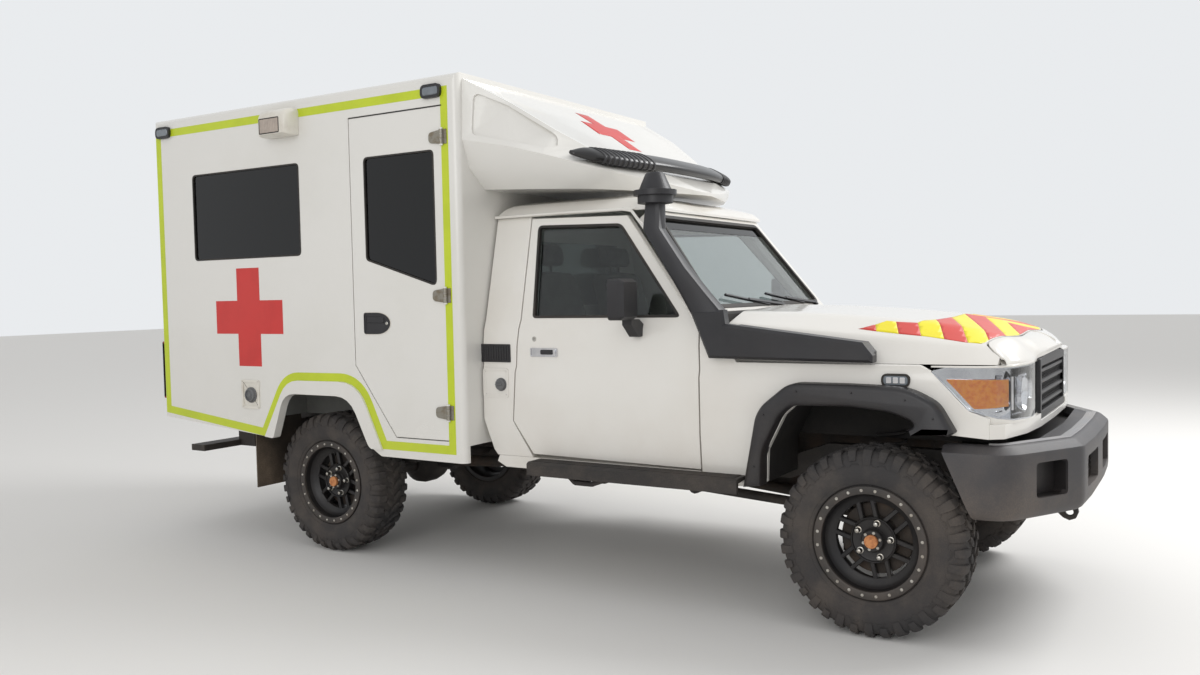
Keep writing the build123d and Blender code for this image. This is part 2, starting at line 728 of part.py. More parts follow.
# Roof: (ahead of the front axle, top height along the middle)
ROOF_LINE = [
    (CAB_REAR, ROOF_LOW + 18),
    (CAB_REAR + 27, ROOF_LOW + 53),
    (CAB_REAR + 95, ROOF_LOW + 90),
    (-1500, ROOF_LOW + 104),
    (-1290, ROOF_LOW + 90),
    (-1150, ROOF_LOW + 46),
    (-1118, ROOF_LOW + 13),
]
ROOF_EDGE = [  # half width, height of the roof's cross section
    (690, ROOF_LOW),
    (690, ROOF_LOW + 14),
    (668, ROOF_LOW + 40),
    (620, ROOF_LOW + 68),
    (540, ROOF_LOW + 88),
    (300, ROOF_LOW + 102),
    (0, ROOF_LOW + 106),
]
GUTTER_OUT = 714


def roof():
    side_profile = cab([(CAB_REAR, ROOF_LOW)] + ROOF_LINE + [(-1118, ROOF_LOW)])
    front_view = [(-y, z) for y, z in ROOF_EDGE] + [(y, z) for y, z in reversed(ROOF_EDGE[:-1])]
    reach = (FRONT_X + CAB_REAR - CUT, FRONT_X)
    solid = across(side_profile, -800, 800) & along(front_view, *reach)
    below = ROOF_LOW - 50
    inner_edge = [(y * 0.96, max(z - SKIN, below)) for y, z in ROOF_EDGE]
    inner_view = [(-y, z) for y, z in inner_edge] + [(y, z) for y, z in reversed(inner_edge[:-1])]
    inner_line = [(max(d, CAB_REAR + SKIN), z - SKIN) for d, z in ROOF_LINE[1:-1]]
    inner_profile = cab([(CAB_REAR + SKIN, below)] + inner_line + [(-1150, below)])
    hollow = across(inner_profile, -800, 800)
    hollow = hollow & along([(-640, below)] + inner_view[1:-1] + [(640, below)], *reach)
    edge = ROOF_EDGE[0][0]
    gutter = block(FRONT_X + CAB_REAR, FRONT_X - 1190, -GUTTER_OUT, 2 - edge, ROOF_LOW + 2, ROOF_LOW + 11)
    keep("cab_roof", solid - hollow + gutter + flip(gutter))


SCREEN_FOOT = (-751, 1372)
SCREEN_HEAD = (-1133, 1871.5)
SCREEN_FOOT_HALF = 700
SCREEN_HEAD_HALF = 610
PILLAR = 74
SCREEN_CORNER = 34
WIPER_PIVOTS = (115, 620)
WIPER_PIVOT_UP = 16
WIPER_ARM = 400
WIPER_BLADE = 460
WIPER_TURN = 6


def screen():
    """Windscreen surround and its pane, both in one sloping plane."""
    (d1, z1), (d2, z2) = SCREEN_FOOT, SCREEN_HEAD
    rise = ((d2 - d1) ** 2 + (z2 - z1) ** 2) ** 0.5
    up = Vector(d2 - d1, 0, z2 - z1).normalized()
    plane = Plane(origin=(FRONT_X + d1, 0, z1), x_dir=(0, 1, 0), z_dir=Vector(0, 1, 0).cross(up))
    outer = [(-SCREEN_FOOT_HALF - 55, 0), (-SCREEN_HEAD_HALF - 55, rise), (SCREEN_HEAD_HALF + 55, rise),
             (SCREEN_FOOT_HALF + 55, 0)]
    inner = [(-SCREEN_FOOT_HALF + 8, 30), (-SCREEN_HEAD_HALF + 8, rise - 40),
             (SCREEN_HEAD_HALF - 8, rise - 40), (SCREEN_FOOT_HALF - 8, 30)]
    inward = plane.z_dir * -1
    inner = bend(inner, SCREEN_CORNER)
    surround = extrude(plane * outline(outer), PILLAR, dir=inward)
    surround = surround - extrude(plane * outline(inner), PILLAR, dir=inward)
    pane = extrude(plane.offset(-12) * outline(inner), GLASS, dir=inward)
    keep("screen_frame", surround)
    keep("cab_glass", pane)
    for y in WIPER_PIVOTS:
        arm = Pos(-WIPER_ARM / 2, 0) * Rectangle(WIPER_ARM, 14)
        blade = Pos(-WIPER_ARM, 0) * Rot(0, 0, -3) * Rectangle(WIPER_BLADE, 9)
        swept = plane * Pos(y, WIPER_PIVOT_UP) * Rot(0, 0, -WIPER_TURN)
        wiper = extrude(swept * Pos(0, 0, TOUCH) * Rectangle(28, 28), 16)
        wiper = wiper + extrude(swept * Pos(0, 0, 10) * arm, 6)
        keep("wipers", wiper + extrude(swept * Pos(0, 0, TOUCH) * blade, 12))


def cab_floor():
    x1, x2 = FRONT_X + CAB_REAR, FRONT_X - 560
    pan = block(x1, FRONT_X - 700, -745, 745, CAB_DECK_Z, CAB_DECK_Z + 25)
    outer = cab([(-1954, 612), (-1940, SILL_TOP), (-787, SILL_TOP), (-787, SILL_Z), (-1900, SILL_Z)])
    sill = across(outer, -SILL_Y - 50, -745)
    sill = sill + block(FRONT_X - 787, x2, -817, -745, SILL_Z, SILL_TOP)
    keep("cab_floor", pan, *pair(sill))


COWL = [(-780, 1330), (-780, 1349.8), (-752, 1370.8), (-740, 1371), (-697, 1362), (-697, 1330)]


def bulkhead():
    x = FRONT_X - 725
    wall = block(x, x + SKIN, -745, 745, CAB_DECK_Z + 25, 1330)
    keep("bulkhead", wall + across(cab(COWL), -745, 745))
    post = block(FRONT_X - 779, FRONT_X - 700, -817, -745 - TOUCH, SILL_TOP + TOUCH, 1290)
    keep("bulkhead", *pair(post))


# Front wing outline, with the wheel arch
WING = [
    (-781, 600),
    (-545, 600),
    (-462, 620),
    (-455, 765),
    (-373, 923),
    (-318, 971),
    (-70, 976),
    (115, 959),
    (227, 912),
    (335, 872),
    (478, 862),
    (478, 945),
    (400, 972),
    (252, 1127),
    (210, 1150),
    (-600, 1150),
    (-690, 1290),
    (-781, 1300),
]
WING_IN = 817 + TOUCH
LEDGE_Y = 795
CHEEK_TOP = 919.7
STRIP_TOP = 891.7
STRIP_LOW = 862
LAMP_LOW = 920
LAMP_TOP = 1140
NOSE = [  # half width, rear edge (ahead of the front axle, z), front edge, and the underside's two heights
    (700, 498, 1152, 520, 1146, LAMP_TOP + TOUCH, LAMP_TOP + TOUCH),
    (640, 442, 1216, 535, 1149, 1194, LAMP_TOP + TOUCH),
    (584, 432, 1216, 560, 1149, 1194, LAMP_TOP + TOUCH),
    (450, 477, 1225, 580, 1149, 1203, LAMP_TOP + TOUCH),
    (400, 490, 1232, 580, 1152, 1210, LAMP_TOP + TOUCH),
    (360, 497, 1238, 580, 1170, 1216, 1150),
    (300, 507, 1245, 593, 1180, 1223, 1158),
    (0, 502, 1254, 622, 1198, 1232, 1178),
]
NOSE_GAP = 7


def front_wings():
    section = [(-half, z) for z, half in SIDE_SKIN[:-1]]
    section += [(-WING_IN, SIDE_SKIN[-2][0]), (-WING_IN, SIDE_SKIN[0][0])]
    wing = along(section, FRONT_X - 790, FRONT_X + 480) & across(cab(WING), -1000, 0)
    ledge = block(FRONT_X - 600, FRONT_X + 200, -skin_half(1130) + 5, -LEDGE_Y, 1130, 1150)
    keep("front_wings", *pair(wing + ledge))
    rings = []
    for y, rear, rear_z, front, front_z, rear_under, front_under in NOSE:
        rings.append([(FRONT_X + rear, -y, rear_z), (FRONT_X + front, -y, front_z),
                      (FRONT_X + front, -y, front_under), (FRONT_X + rear, -y, rear_under)])
    rings += [[(x, -y, z) for x, y, z in ring] for ring in reversed(rings[:-1])]
    keep("front_wings", skin(rings))
    outer = [(480, 848), (530, 812), (580, 600), (598, 370), (603, 0)]
    inner = [(450, 848), (484, 815), (550, 590), (568, 370), (573, 0)]
    strip = upward(whole_plan(outer) + whole_plan(inner)[::-1], STRIP_LOW, STRIP_TOP)
    cheek = upward([(FRONT_X + d, -y) for d, y in outer[:4] + inner[3::-1]], STRIP_LOW, CHEEK_TOP)
    keep("front_wings", strip + cheek + flip(cheek))


def engine_bay():
    x1 = FRONT_X - 700 + TOUCH
    wall = block(x1, FRONT_X + 470, -445, -425, 790, 1150)
    shelf = block(x1, FRONT_X + 200, -LEDGE_Y + TOUCH, -445 - TOUCH, 1130, 1150)
    keep("bulkhead", *pair(wall), *pair(shelf))


# Bonnet sections: ahead of the front axle, side, crease (half width, z), shoulder (half width, z), crown z
BONNET_Z = 1150 + TOUCH
BONNET = [
    (-685, 790, 742, 1318, 560, 1372, 1392),
    (-300, 788, 722, 1285, 540, 1358, 1380),
    (100, 784, 690, 1250, 520, 1325, 1350),
    (350, 772, 664, 1226, 500, 1286, 1308),
    (520, 742, 628, 1212, 450, 1236, 1250),
]
BONNET_SKIN = 22


def bonnet_section(inset):
    def half(side, crease, crease_z, shoulder, shoulder_z, crown_z):
        return [(-side + inset, BONNET_Z - 2 * inset), (-crease + inset, crease_z - inset),
                (-shoulder, shoulder_z - inset), (0, crown_z - inset)]
    return half


def bonnet():
    rows = [(FRONT_X + d, *row) for d, *row in BONNET]
    form = stations(rows, bonnet_section(0)) - stations(rows, bonnet_section(BONNET_SKIN))
    seam = [(-700, 830), (520, 830), (NOSE[0][1], NOSE[0][0])] + [(rear, y) for y, rear, *_ in NOSE[1:]]
    keep("bonnet", form & upward(whole_plan([(d - NOSE_GAP, y) for d, y in seam]), BONNET_Z, 1500))


LAMP_PLAN = [(250, 842), (420, 842), (500, 812), (552, 740), (582, 600), (586, 480), (580, 362)]
LAMP_BACK = [(510, 362), (470, 690), (250, 800)]
GRILLE_HALF = 358
GRILLE_HOLE = (-330, 330, 925, 1118)
GRILLE_FRONT = 594
GRILLE_BARS = 4


def front_end():
    x2 = FRONT_X + GRILLE_FRONT
    crest = [(-GRILLE_HALF, 1149), (-300, 1157), (0, 1177), (300, 1157), (GRILLE_HALF, 1149)]
    frame = along([(-GRILLE_HALF, LAMP_LOW - 28)] + crest + [(GRILLE_HALF, LAMP_LOW - 28)], x2 - 34, x2)
    low, high, z_low, z_high = GRILLE_HOLE
    frame = frame - block(x2 - 24, x2 + 1, low, high, z_low, z_high)
    pitch = (z_high - z_low) / GRILLE_BARS
    for row in range(GRILLE_BARS):
        z = z_low + pitch * (row + 0.5)
        wedge = [(x2 - 25, z - 20), (x2 - 25, z + 14), (x2 - 4, z + 8), (x2 - 4, z - 2)]
        frame = frame + across(wedge, low - 1, high + 1)
    keep("grille", frame)
    side_view = cab([(252.5, 1127.5), (310, LAMP_TOP), (598, LAMP_TOP), (598, LAMP_LOW), (478.4, 945.4),
                     (400.4, 972.4)])
    plan = [(FRONT_X + d, -y) for d, y in LAMP_PLAN + LAMP_BACK]
    keep("headlamps", *pair(upward(plan, 900, 1160) & across(side_view, -900, 0)))


FLARE_IN = max(half for z, half in SIDE_SKIN) + TOUCH
FLARE_OUT = 930
FLARE_EDGE = 18
FLARE_OUTER = [(-548, 601), (-481, 948), (-328, 1071), (-70, 1069), (172, 1062), (292, 1000), (358, 889),
               (335, 874)]
FLARE_ROUNDING = [0, 90, 110, 0, 150, 60, 0, 0]
FLARE_INNER = [(225, 914), (113, 961), (-70, 978), (-319, 973), (-375, 925), (-457, 766), (-464, 613)]


def flares():
    plan = bend(cab(FLARE_OUTER), FLARE_ROUNDING, 4) + cab(FLARE_INNER)
    rings = []
    for y, inset in ((FLARE_IN, 0), (FLARE_OUT - FLARE_EDGE, 0), (FLARE_OUT, FLARE_EDGE)):
        rings.append([(x, -y, z) for x, z in shrink(plan, inset)])
    keep("arch_flares", *pair(skin(rings)))


BOARD_REAR, BOARD_FRONT = -1690, -560
BOARD_OUT = 955
BOARD_SECTION = [  # half width, height: outer lip, ribbed top and inner flange
    (BOARD_OUT, 575),
    (BOARD_OUT, 632),
    (940, 641),
    (841, 641),
    (841, 627),
    (932, 620),
    (938, 575),
]
BOARD_RIBS = (860, 882, 904, 926)
BOARD_PIPE = [(-1533, 628), (-1440, 548), (-1342, 548), (-1161, 628)]
PIPE_Y = 900
BOARD_PIPE_R = 13


def side_steps():
    x1, x2 = FRONT_X + BOARD_REAR, FRONT_X + BOARD_FRONT
    board = along([(-y, z) for y, z in BOARD_SECTION], x1, x2)
    for y in BOARD_RIBS:
        board = board + block(x1 + 20, x2 - 20, -y - 5, -y + 5, 636, 645)
    points = [(FRONT_X + d, -PIPE_Y, z) for d, z in BOARD_PIPE]
    for start, end in zip(points, points[1:]):
        board = board + rod(start, end, BOARD_PIPE_R, sides=8)
    for x, y, z in points[1:3]:
        foot = block(x - 16, x + 16, -SILL_Y - 16, -SILL_Y + 16, z - BOARD_PIPE_R, SILL_Z - TOUCH)
        board = board + rod((x, y, z), (x, -SILL_Y, z), BOARD_PIPE_R, sides=8) + foot
    keep("steps", *pair(board))


SNORKEL_LOW = [(-713, 1169), (30, 1160), (30, 1191), (-13, 1245), (-630, 1322), (-639, 1385), (-804, 1385)]
SNORKEL_OUT = 905
SNORKEL_PIPE = [  # ahead of the front axle, y, z, length, width
    (-721, -860, 1370, 165, 84),
    (-800, -850, 1470, 134, 81),
    (-887, -838, 1580, 108, 78),
    (-1022, -812, 1765, 96, 78),
    (-1021, -800, 1885, 84, 76),
]
SNORKEL_HEAD = (-1021, -800)
SNORKEL_ROWS = [  # z, radius
    (1880, 41),
    (1886, 84),
    (1921, 84),
    (1922, 102),
    (1947, 102),
    (1950, 78),
    (2022, 46),
    (2030, 38),
]


def snorkel():
    inner = skin_half(1212) + TOUCH
    low_rings = [[(x, -y, z) for x, z in shrink(cab(SNORKEL_LOW), inset)]
                 for y, inset in ((inner, 0), (SNORKEL_OUT - 12, 0), (SNORKEL_OUT, 12))]
    low = skin(low_rings)
    entry = across(cab(SNORKEL_LOW), -860, -802) & block(FRONT_X - 590, FRONT_X + 20, -900, -800, 1151, 1400)
    rings = []
    for d, y, z, length, width in SNORKEL_PIPE:
        a, b = length / 2, width / 2
        section = bend([(-a, -b), (a, -b), (a, b), (-a, b)], width * 0.3, 2)
        rings.append([(FRONT_X + d + a, y + b, z) for a, b in section])
    d, y = SNORKEL_HEAD
    turns = [2 * pi * number / 16 for number in range(16)]
    head = skin([[(FRONT_X + d + radius * cos(turn), y + radius * sin(turn), z) for turn in turns]
                 for z, radius in SNORKEL_ROWS])
    keep("snorkel", low + entry + skin(rings) + head)


DASH = [(-1010, 1090), (-1010, 1250), (-960, 1290), (-800, 1318), (-725 - TOUCH, 1318), (-725 - TOUCH, 1090)]
WHEEL_TILT = -62
WHEEL_R = 185


def steering_wheel():
    turns = [2 * pi * number / 16 for number in range(16)]
    section = [(WHEEL_R + 14 * cos(radians(60 * side)), 14 * sin(radians(60 * side))) for side in range(6)]
    ring = skin([[(r * cos(turn), r * sin(turn), z) for r, z in section] for turn in turns], closed=True)
    hub = upward(bend([(-45, -60), (45, -60), (45, 60), (-45, 60)], 20), -14, 12)
    return ring + hub + Pos(0, 0, -3) * Box(46, 2 * WHEEL_R - 8, 14)


def interior():
    dash = across(cab(DASH), -740, 740)
    wheel_x, wheel_y, wheel_z = FRONT_X - 1120, 370, 1180
    wheel = Pos(wheel_x, wheel_y, wheel_z) * Rot(0, WHEEL_TILT, 0) * steering_wheel()
    column = rod((wheel_x + 5, wheel_y, wheel_z - 2), (FRONT_X - 980, wheel_y, 1120), 26, sides=ROD_SIDES)
    keep("dashboard", dash, (wheel + column) - dash)
    for side in (-1, 1):
        y = side * 370
        cushion = block(FRONT_X - 1820, FRONT_X - 1330, y - 240, y + 240, CAB_DECK_Z + 25 + TOUCH, 1000)
        back = across(cab([(-1820, 980), (-1985, 1560), (-1900, 1590), (-1740, 980)]), y - 230, y + 230)
        rest = across(cab([(-1975, 1620), (-1990, 1740), (-1930, 1740), (-1905, 1620)]), y - 130, y + 130)
        seat = cushion + back + rest
        for way in (-1, 1):
            foot = (FRONT_X - 1940, y + way * 60, 1550)
            seat = seat + rod(foot, (foot[0], foot[1], 1640), 7, sides=8)
        keep("seats", seat)


# Treatment box
WINDOW_TOP = BOX_TOP - 363
WINDOW_LOW = BOX_TOP - 884
SIDE_WINDOW = [(BOX_REAR + 357, WINDOW_LOW), (BOX_REAR + 357, WINDOW_TOP), (BOX_REAR + 1283, WINDOW_TOP),
               (BOX_REAR + 1283, WINDOW_LOW)]
SIDE_DOOR_TOP = BOX_TOP - 162
DOOR_REAR, DOOR_FRONT = BOX_FRONT - 748, BOX_FRONT - 100
SIDE_DOOR = [(DOOR_REAR, 1105), (DOOR_REAR, SIDE_DOOR_TOP), (DOOR_FRONT, SIDE_DOOR_TOP), (DOOR_FRONT, 727),
             (DOOR_REAR + 282, 727)]
SIDE_DOOR_WINDOW = [(DOOR_REAR + 98, BOX_TOP - 927), (DOOR_REAR + 98, BOX_TOP - 376),
                    (DOOR_FRONT - 58, BOX_TOP - 376), (DOOR_FRONT - 58, BOX_TOP - 1078)]
SIDE_FOOT = [(-340, 672), (-275, 665), (-175, 930), (343, 930), (478, 665), (562, 615),
             (BOX_FRONT, BOX_SKIRT_Z)]
FOOT_ROUNDING = [0, 20, 120, 170, 60, 40, 0]
LIP = [(-350, 668), (-155, 1007), (405, 1012), (577, 651)]
LIP_ROUNDING = [0, 170, 220, 0]
LIP_OUT = 12
FOOT_Z_REAR = 751
BOX_BELOW = 300
WINDOW_CORNER = 30
REAR_OPENING = (140 - BOX_HALF, BOX_HALF - 140, 790, BOX_TOP - 139)
REAR_WINDOW = [(300 - BOX_HALF, BOX_TOP - 899), (300 - BOX_HALF, BOX_TOP - 399), (-160, BOX_TOP - 399),
               (-160, BOX_TOP - 899)]
PANE_DEPTH = 8
TUB_HALF = 480
TUB_Y = 560
TUB_TOP = 1010
FRONT_WALL_Z = 700
HINGE_OUT = 10
SIDE_HINGE_Z = (871, 1474, BOX_TOP - 318)
REAR_HINGE_Z = (950, 1560, BOX_TOP - 299)


def box_foot():
    """What is cut away below the box's sides: the rear rise and the wheel arch."""
    rear = BOX_REAR - CUT
    line = [(rear, BOX_BELOW), (rear, FOOT_Z_REAR + 6), (BOX_REAR, FOOT_Z_REAR)] + SIDE_FOOT
    line += [(BOX_FRONT + CUT, BOX_SKIRT_Z), (BOX_FRONT + CUT, BOX_BELOW)]
    return bend(box(line), [0, 0, 0] + FOOT_ROUNDING + [0, 0], 4)


def box_shell():
    x1, x2 = REAR_X + BOX_REAR, REAR_X + BOX_FRONT
    outer = block(x1, x2, -BOX_HALF, BOX_HALF, 500, BOX_TOP)
    edges = outer.edges().filter_by(Axis.Z) + outer.edges().filter_by(Axis.X).group_by(Axis.Z)[-1]
    outer = fillet(edges, BOX_CORNER)
    side_y = BOX_HALF - BOX_WALL
    inner = block(x1 + BOX_WALL, x2 - BOX_WALL, -side_y, side_y, 400, BOX_TOP - BOX_WALL)
    return outer - inner - across(box_foot(), -BOX_HALF - CUT, BOX_HALF + CUT)


def hinge_leaf(high, reach):
    """The bullet-shaped hinge leaf, lying in the (across, up) plane with its barrel at the origin."""
    return bend([(-reach, -high * 0.7), (0, -high), (0, high), (-reach, high * 0.7)], [18, 0, 0, 18])


def side_walls(shell):
    x1, x2 = REAR_X + BOX_REAR, REAR_X + BOX_FRONT
    side_y = BOX_HALF - BOX_WALL
    reach = (-BOX_HALF - CUT, -side_y)
    pane_reach = (-BOX_HALF + PANE_DEPTH, -BOX_HALF + PANE_DEPTH + GLASS)
    wall = shell & block(x1, x2, -BOX_HALF, -side_y, BOX_BELOW, BOX_TOP - BOX_WALL)
    lip = across(bend(box(LIP), LIP_ROUNDING, 4), -BOX_HALF - LIP_OUT, -BOX_HALF + 2)
    wall = wall + (lip - across(box_foot(), *reach))
    window = across(box(SIDE_WINDOW), *reach, WINDOW_CORNER)
    (d1, kink), (_, top), (d2, _), (_, low), (d3, _) = SIDE_DOOR
    door_gap = [(d1 - SEAM, kink - 2), (d1 - SEAM, top + SEAM), (d2 + SEAM, top + SEAM),
                (d2 + SEAM, low - SEAM), (d3 - 3, low - SEAM)]
    keep("box_side_right", wall - window - across(box(door_gap), *reach))
    keep("box_side_left", flip(wall - window))
    door = across(box(SIDE_DOOR), -BOX_HALF, -side_y) - across(box(SIDE_DOOR_WINDOW), *reach, WINDOW_CORNER)
    for z in SIDE_HINGE_Z:
        x, y = REAR_X + d2 + SEAM / 2, -BOX_HALF - HINGE_OUT
        barrel = rod((x, y, z - 45), (x, y, z + 45), HINGE_OUT - TOUCH, sides=ROD_SIDES)
        leaf = across([(x + a, z + b) for a, b in hinge_leaf(36, 86)], -BOX_HALF - 7, -BOX_HALF)
        door = door + barrel + leaf
    keep("side_door", door)
    keep("side_door_glass", across(box(SIDE_DOOR_WINDOW), *pane_reach, WINDOW_CORNER))
    keep("box_windows", *pair(across(box(SIDE_WINDOW), *pane_reach, WINDOW_CORNER)))


def rear_wall(shell):
    x1 = REAR_X + BOX_REAR
    side_y = BOX_HALF - BOX_WALL
    y1, y2, z1, z2 = REAR_OPENING
    rear = shell & block(x1, x1 + BOX_WALL, -side_y, side_y, BOX_BELOW, BOX_TOP - BOX_WALL)
    keep("box_rear_frame", rear - block(x1 - 10, x1 + CUT, y1 - SEAM, y2 + SEAM, z1 - SEAM, z2 + SEAM))
    leaf = block(x1, x1 + BOX_WALL, y1, -SEAM / 2, z1, z2)
    leaf = leaf - along(REAR_WINDOW, x1 - 10, x1 + CUT, WINDOW_CORNER)
    pane = along(REAR_WINDOW, x1 + PANE_DEPTH, x1 + PANE_DEPTH + GLASS, WINDOW_CORNER)
    for z in REAR_HINGE_Z:
        y = y1 - SEAM / 2
        barrel = rod((x1 - HINGE_OUT, y, z - 50), (x1 - HINGE_OUT, y, z + 50), HINGE_OUT - TOUCH)
        plate = along([(y - a, z + b) for a, b in hinge_leaf(38, 90)], x1 - 7, x1)
        leaf = leaf + barrel + plate
    for side, change in (("right", lambda s: s), ("left", flip)):
        keep("rear_door_" + side, change(leaf))
        keep("rear_door_glass_" + side, change(pane))


def box_floor():
    x1, x2 = REAR_X + BOX_REAR + BOX_WALL, REAR_X + BOX_FRONT - BOX_WALL
    side_y = BOX_HALF - BOX_WALL
    tub_x1, tub_x2 = REAR_X - TUB_HALF, REAR_X + TUB_HALF
    floor = block(x1, x2, -side_y, side_y, BOX_DECK_Z, BOX_DECK_Z + 25)
    room = block(tub_x1, tub_x2, -side_y - 1, -TUB_Y, BOX_DECK_Z - 1, BOX_DECK_Z + 60)
    keep("box_floor", floor - room - flip(room))
    tub = block(tub_x1, tub_x2, -side_y, -TUB_Y, BOX_DECK_Z, TUB_TOP)
    tub = tub - block(tub_x1 + 15, tub_x2 - 15, -side_y - 1, -TUB_Y - 15, BOX_DECK_Z - 1, TUB_TOP - 15)
    keep("box_floor", *pair(tub))


def treatment_box():
    shell = box_shell()
    x1, x2 = REAR_X + BOX_REAR, REAR_X + BOX_FRONT
    side_y = BOX_HALF - BOX_WALL
    side_walls(shell)
    keep("box_roof", shell & block(x1, x2, -BOX_HALF, BOX_HALF, BOX_TOP - BOX_WALL, BOX_TOP))
    front = shell & block(x2 - BOX_WALL, x2, -side_y, side_y, BOX_BELOW, BOX_TOP - BOX_WALL)
    keep("box_front_wall", front - block(x2 - CUT, x2 + 10, -side_y, side_y, BOX_BELOW, FRONT_WALL_Z))
    rear_wall(shell)
    box_floor()


# Fairing sections: ahead of the box, half width, waist z, ridge z, under half width, under z
DRAWN_TOP = 2599
DRAWN_HALF = 1000
BOX_FRONT_X = REAR_X + BOX_FRONT
RISE = BOX_TOP - DRAWN_TOP
WIDEN = BOX_HALF / DRAWN_HALF
FAIRING = [
    (0, 962, 2261, 950, 2572 + RISE, 785, 2021),
    (247, 930, 2212, 872, 2429 + RISE, 780, 2008),
    (447, 895, 2158, 776, 2288 + RISE / 2, 768, 1996),
    (566, 862, 2122, 680, 2205 + RISE / 2, 745, 1990),
    (657, 795, 2092, 530, 2150, 690, 1986),
    (726, 690, 2070, 430, 2120, 600, 1983),
    (817, 480, 2040, 300, 2076, 418, 1980),
    (887, 200, 2008, 120, 2018, 174, 1980),
    (917, 40, 1996, 24, 2000, 36, 1981),
]
RIDGE_WIDTH = 46
FAIRING_VALLEY = 14
FAIRING_RECESS = [(47, 2285), (57, 2500), (237, 2415), (457, 2260), (497, 2180)]
RECESS_DEPTH = 14
RECESS_ROWS = 4
BAR_LEAN = 30
BAR_PATH = [  # y, ahead of the box, z, half depth, half thickness
    (835, 577, 2158, 16, 10),
    (760, 632, 2152, 52, 25),
    (600, 702, 2142, 65, 29),
    (300, 772, 2137, 65, 29),
    (0, 792, 2135, 65, 29),
]


def fairing_half(half, waist, ridge_half, ridge, under, under_z, top):
    half, ridge_half, under = half * WIDEN, ridge_half * WIDEN, under * WIDEN
    inner = max(ridge_half - RIDGE_WIDTH, ridge_half * 0.7)
    tuck = (-half * 0.7 - under * 0.3, waist * 0.42 + under_z * 0.58)
    return [(-under, under_z), tuck, (-half, waist), (-ridge_half, ridge), (-inner, ridge),
            (-inner * 0.93, top), (0, top + 4)]


def light_bar_form(grow=0):
    """The lozenge bar, its sections leaning forward, bent back towards both tips."""
    lean = radians(BAR_LEAN)
    rings = []
    for y, d, z, depth, thick in BAR_PATH:
        depth, thick = depth + grow, thick + grow
        flat = depth * 0.62
        section = [(-depth, 0), (-flat, thick), (flat, thick), (depth, 0), (flat, -thick), (-flat, -thick)]
        rings.append([(BOX_FRONT_X + d + a * cos(lean) + b * sin(lean), -y * WIDEN,
                       z - a * sin(lean) + b * cos(lean)) for a, b in section])
    return skin(rings + [[(x, -y, z) for x, y, z in ring] for ring in reversed(rings[:-1])])


def fairing():
    rows = []
    cutter = []
    for d, half, waist, ridge_half, ridge, under, under_z in FAIRING:
        x = BOX_FRONT_X + d
        fall = FAIRING_VALLEY * min(1, d / 200) if half > BAR_PATH[2][0] else 0
        rows.append((x, half, waist, ridge_half, ridge, under, under_z, ridge - fall))
        low, high = -half * WIDEN + RECESS_DEPTH, -ridge_half * WIDEN + RECESS_DEPTH
        cutter.append([(x, low, waist), (x, high, ridge), (x, -BOX_HALF - CUT, ridge),
                       (x, -BOX_HALF - CUT, waist)])
    form = stations(rows, fairing_half)
    side = [(BOX_FRONT_X + d, z) for d, z in FAIRING_RECESS]
    recess = across(bend(side, [30, 30, 0, 40, 30]), -BOX_HALF - CUT, 0) & skin(cutter[:RECESS_ROWS])
    keep("box_fairing", form - recess - flip(recess) - light_bar_form(TOUCH))


def light_bar():
    keep("light_bar", light_bar_form())


SCENE_LIGHT = (BOX_REAR + 1050, BOX_REAR + 1299, BOX_TOP - 214, BOX_TOP - 55)
MARKER_Z = BOX_TOP - 83


def moulded(plan, levels):
    """A lamp housing on the box's right side from a side outline, given (out from the side, inset) levels."""
    return skin([[(x, -BOX_HALF - out, z) for x, z in shrink(plan, inset)] for out, inset in levels])


def lamps():
    x1 = REAR_X + BOX_REAR
    d1, d2, low, high = SCENE_LIGHT
    plan = bend(box([(d1, low), (d2, low), (d2, high), (d1, high)]), 14, 2)
    keep("side_lamps", *pair(moulded(plan, [(TOUCH, 0), (70, 0), (95, 9)])))
    low, high = MARKER_Z - 35, MARKER_Z + 35
    for d in (BOX_REAR + 106, BOX_FRONT - 158):
        plan = bend(box([(d - 65, low), (d + 65, low), (d + 65, high), (d - 65, high)]), 30, 4)
        keep("side_lamps", *pair(moulded(plan, [(TOUCH, 0), (15, 0), (22, 5)])))
    for y in (70 - BOX_HALF, BOX_HALF - 70):
        keep("rear_lamps", block(x1 - 26, x1 - TOUCH, y - 45, y + 45, 860, 1220))


def main():
    ladder_frame()
    front_axle()
    keep("knuckle_right", knuckle())
    keep("knuckle_left", flip(knuckle()))
    tie_rod()
    rear_axle()
    suspension()
    drivetrain()
    front_bumper()
    tow_eyes()
    rear_step()
    mud_flaps()
    wheels()
    doors()
    cab_rear()
    roof()
    screen()
    cab_floor()
    bulkhead()
    front_wings()
    engine_bay()
    bonnet()
    front_end()
    flares()
    side_steps()
    snorkel()
    interior()
    treatment_box()
    fairing()
    light_bar()
    lamps()
    os.makedirs("parts", exist_ok=True)
    for name, solids in parts.items():
        export_step(Compound(children=solids), f"parts/{name}.step")


main()
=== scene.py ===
import bmesh
import bpy
import json
from math import atan2, cos, pi, radians, sin, tan
from bpy.props import FloatProperty, FloatVectorProperty, IntProperty, PointerProperty
from bpy.types import Operator, Panel, PropertyGroup
from mathutils import Matrix, Vector
from mathutils.bvhtree import BVHTree

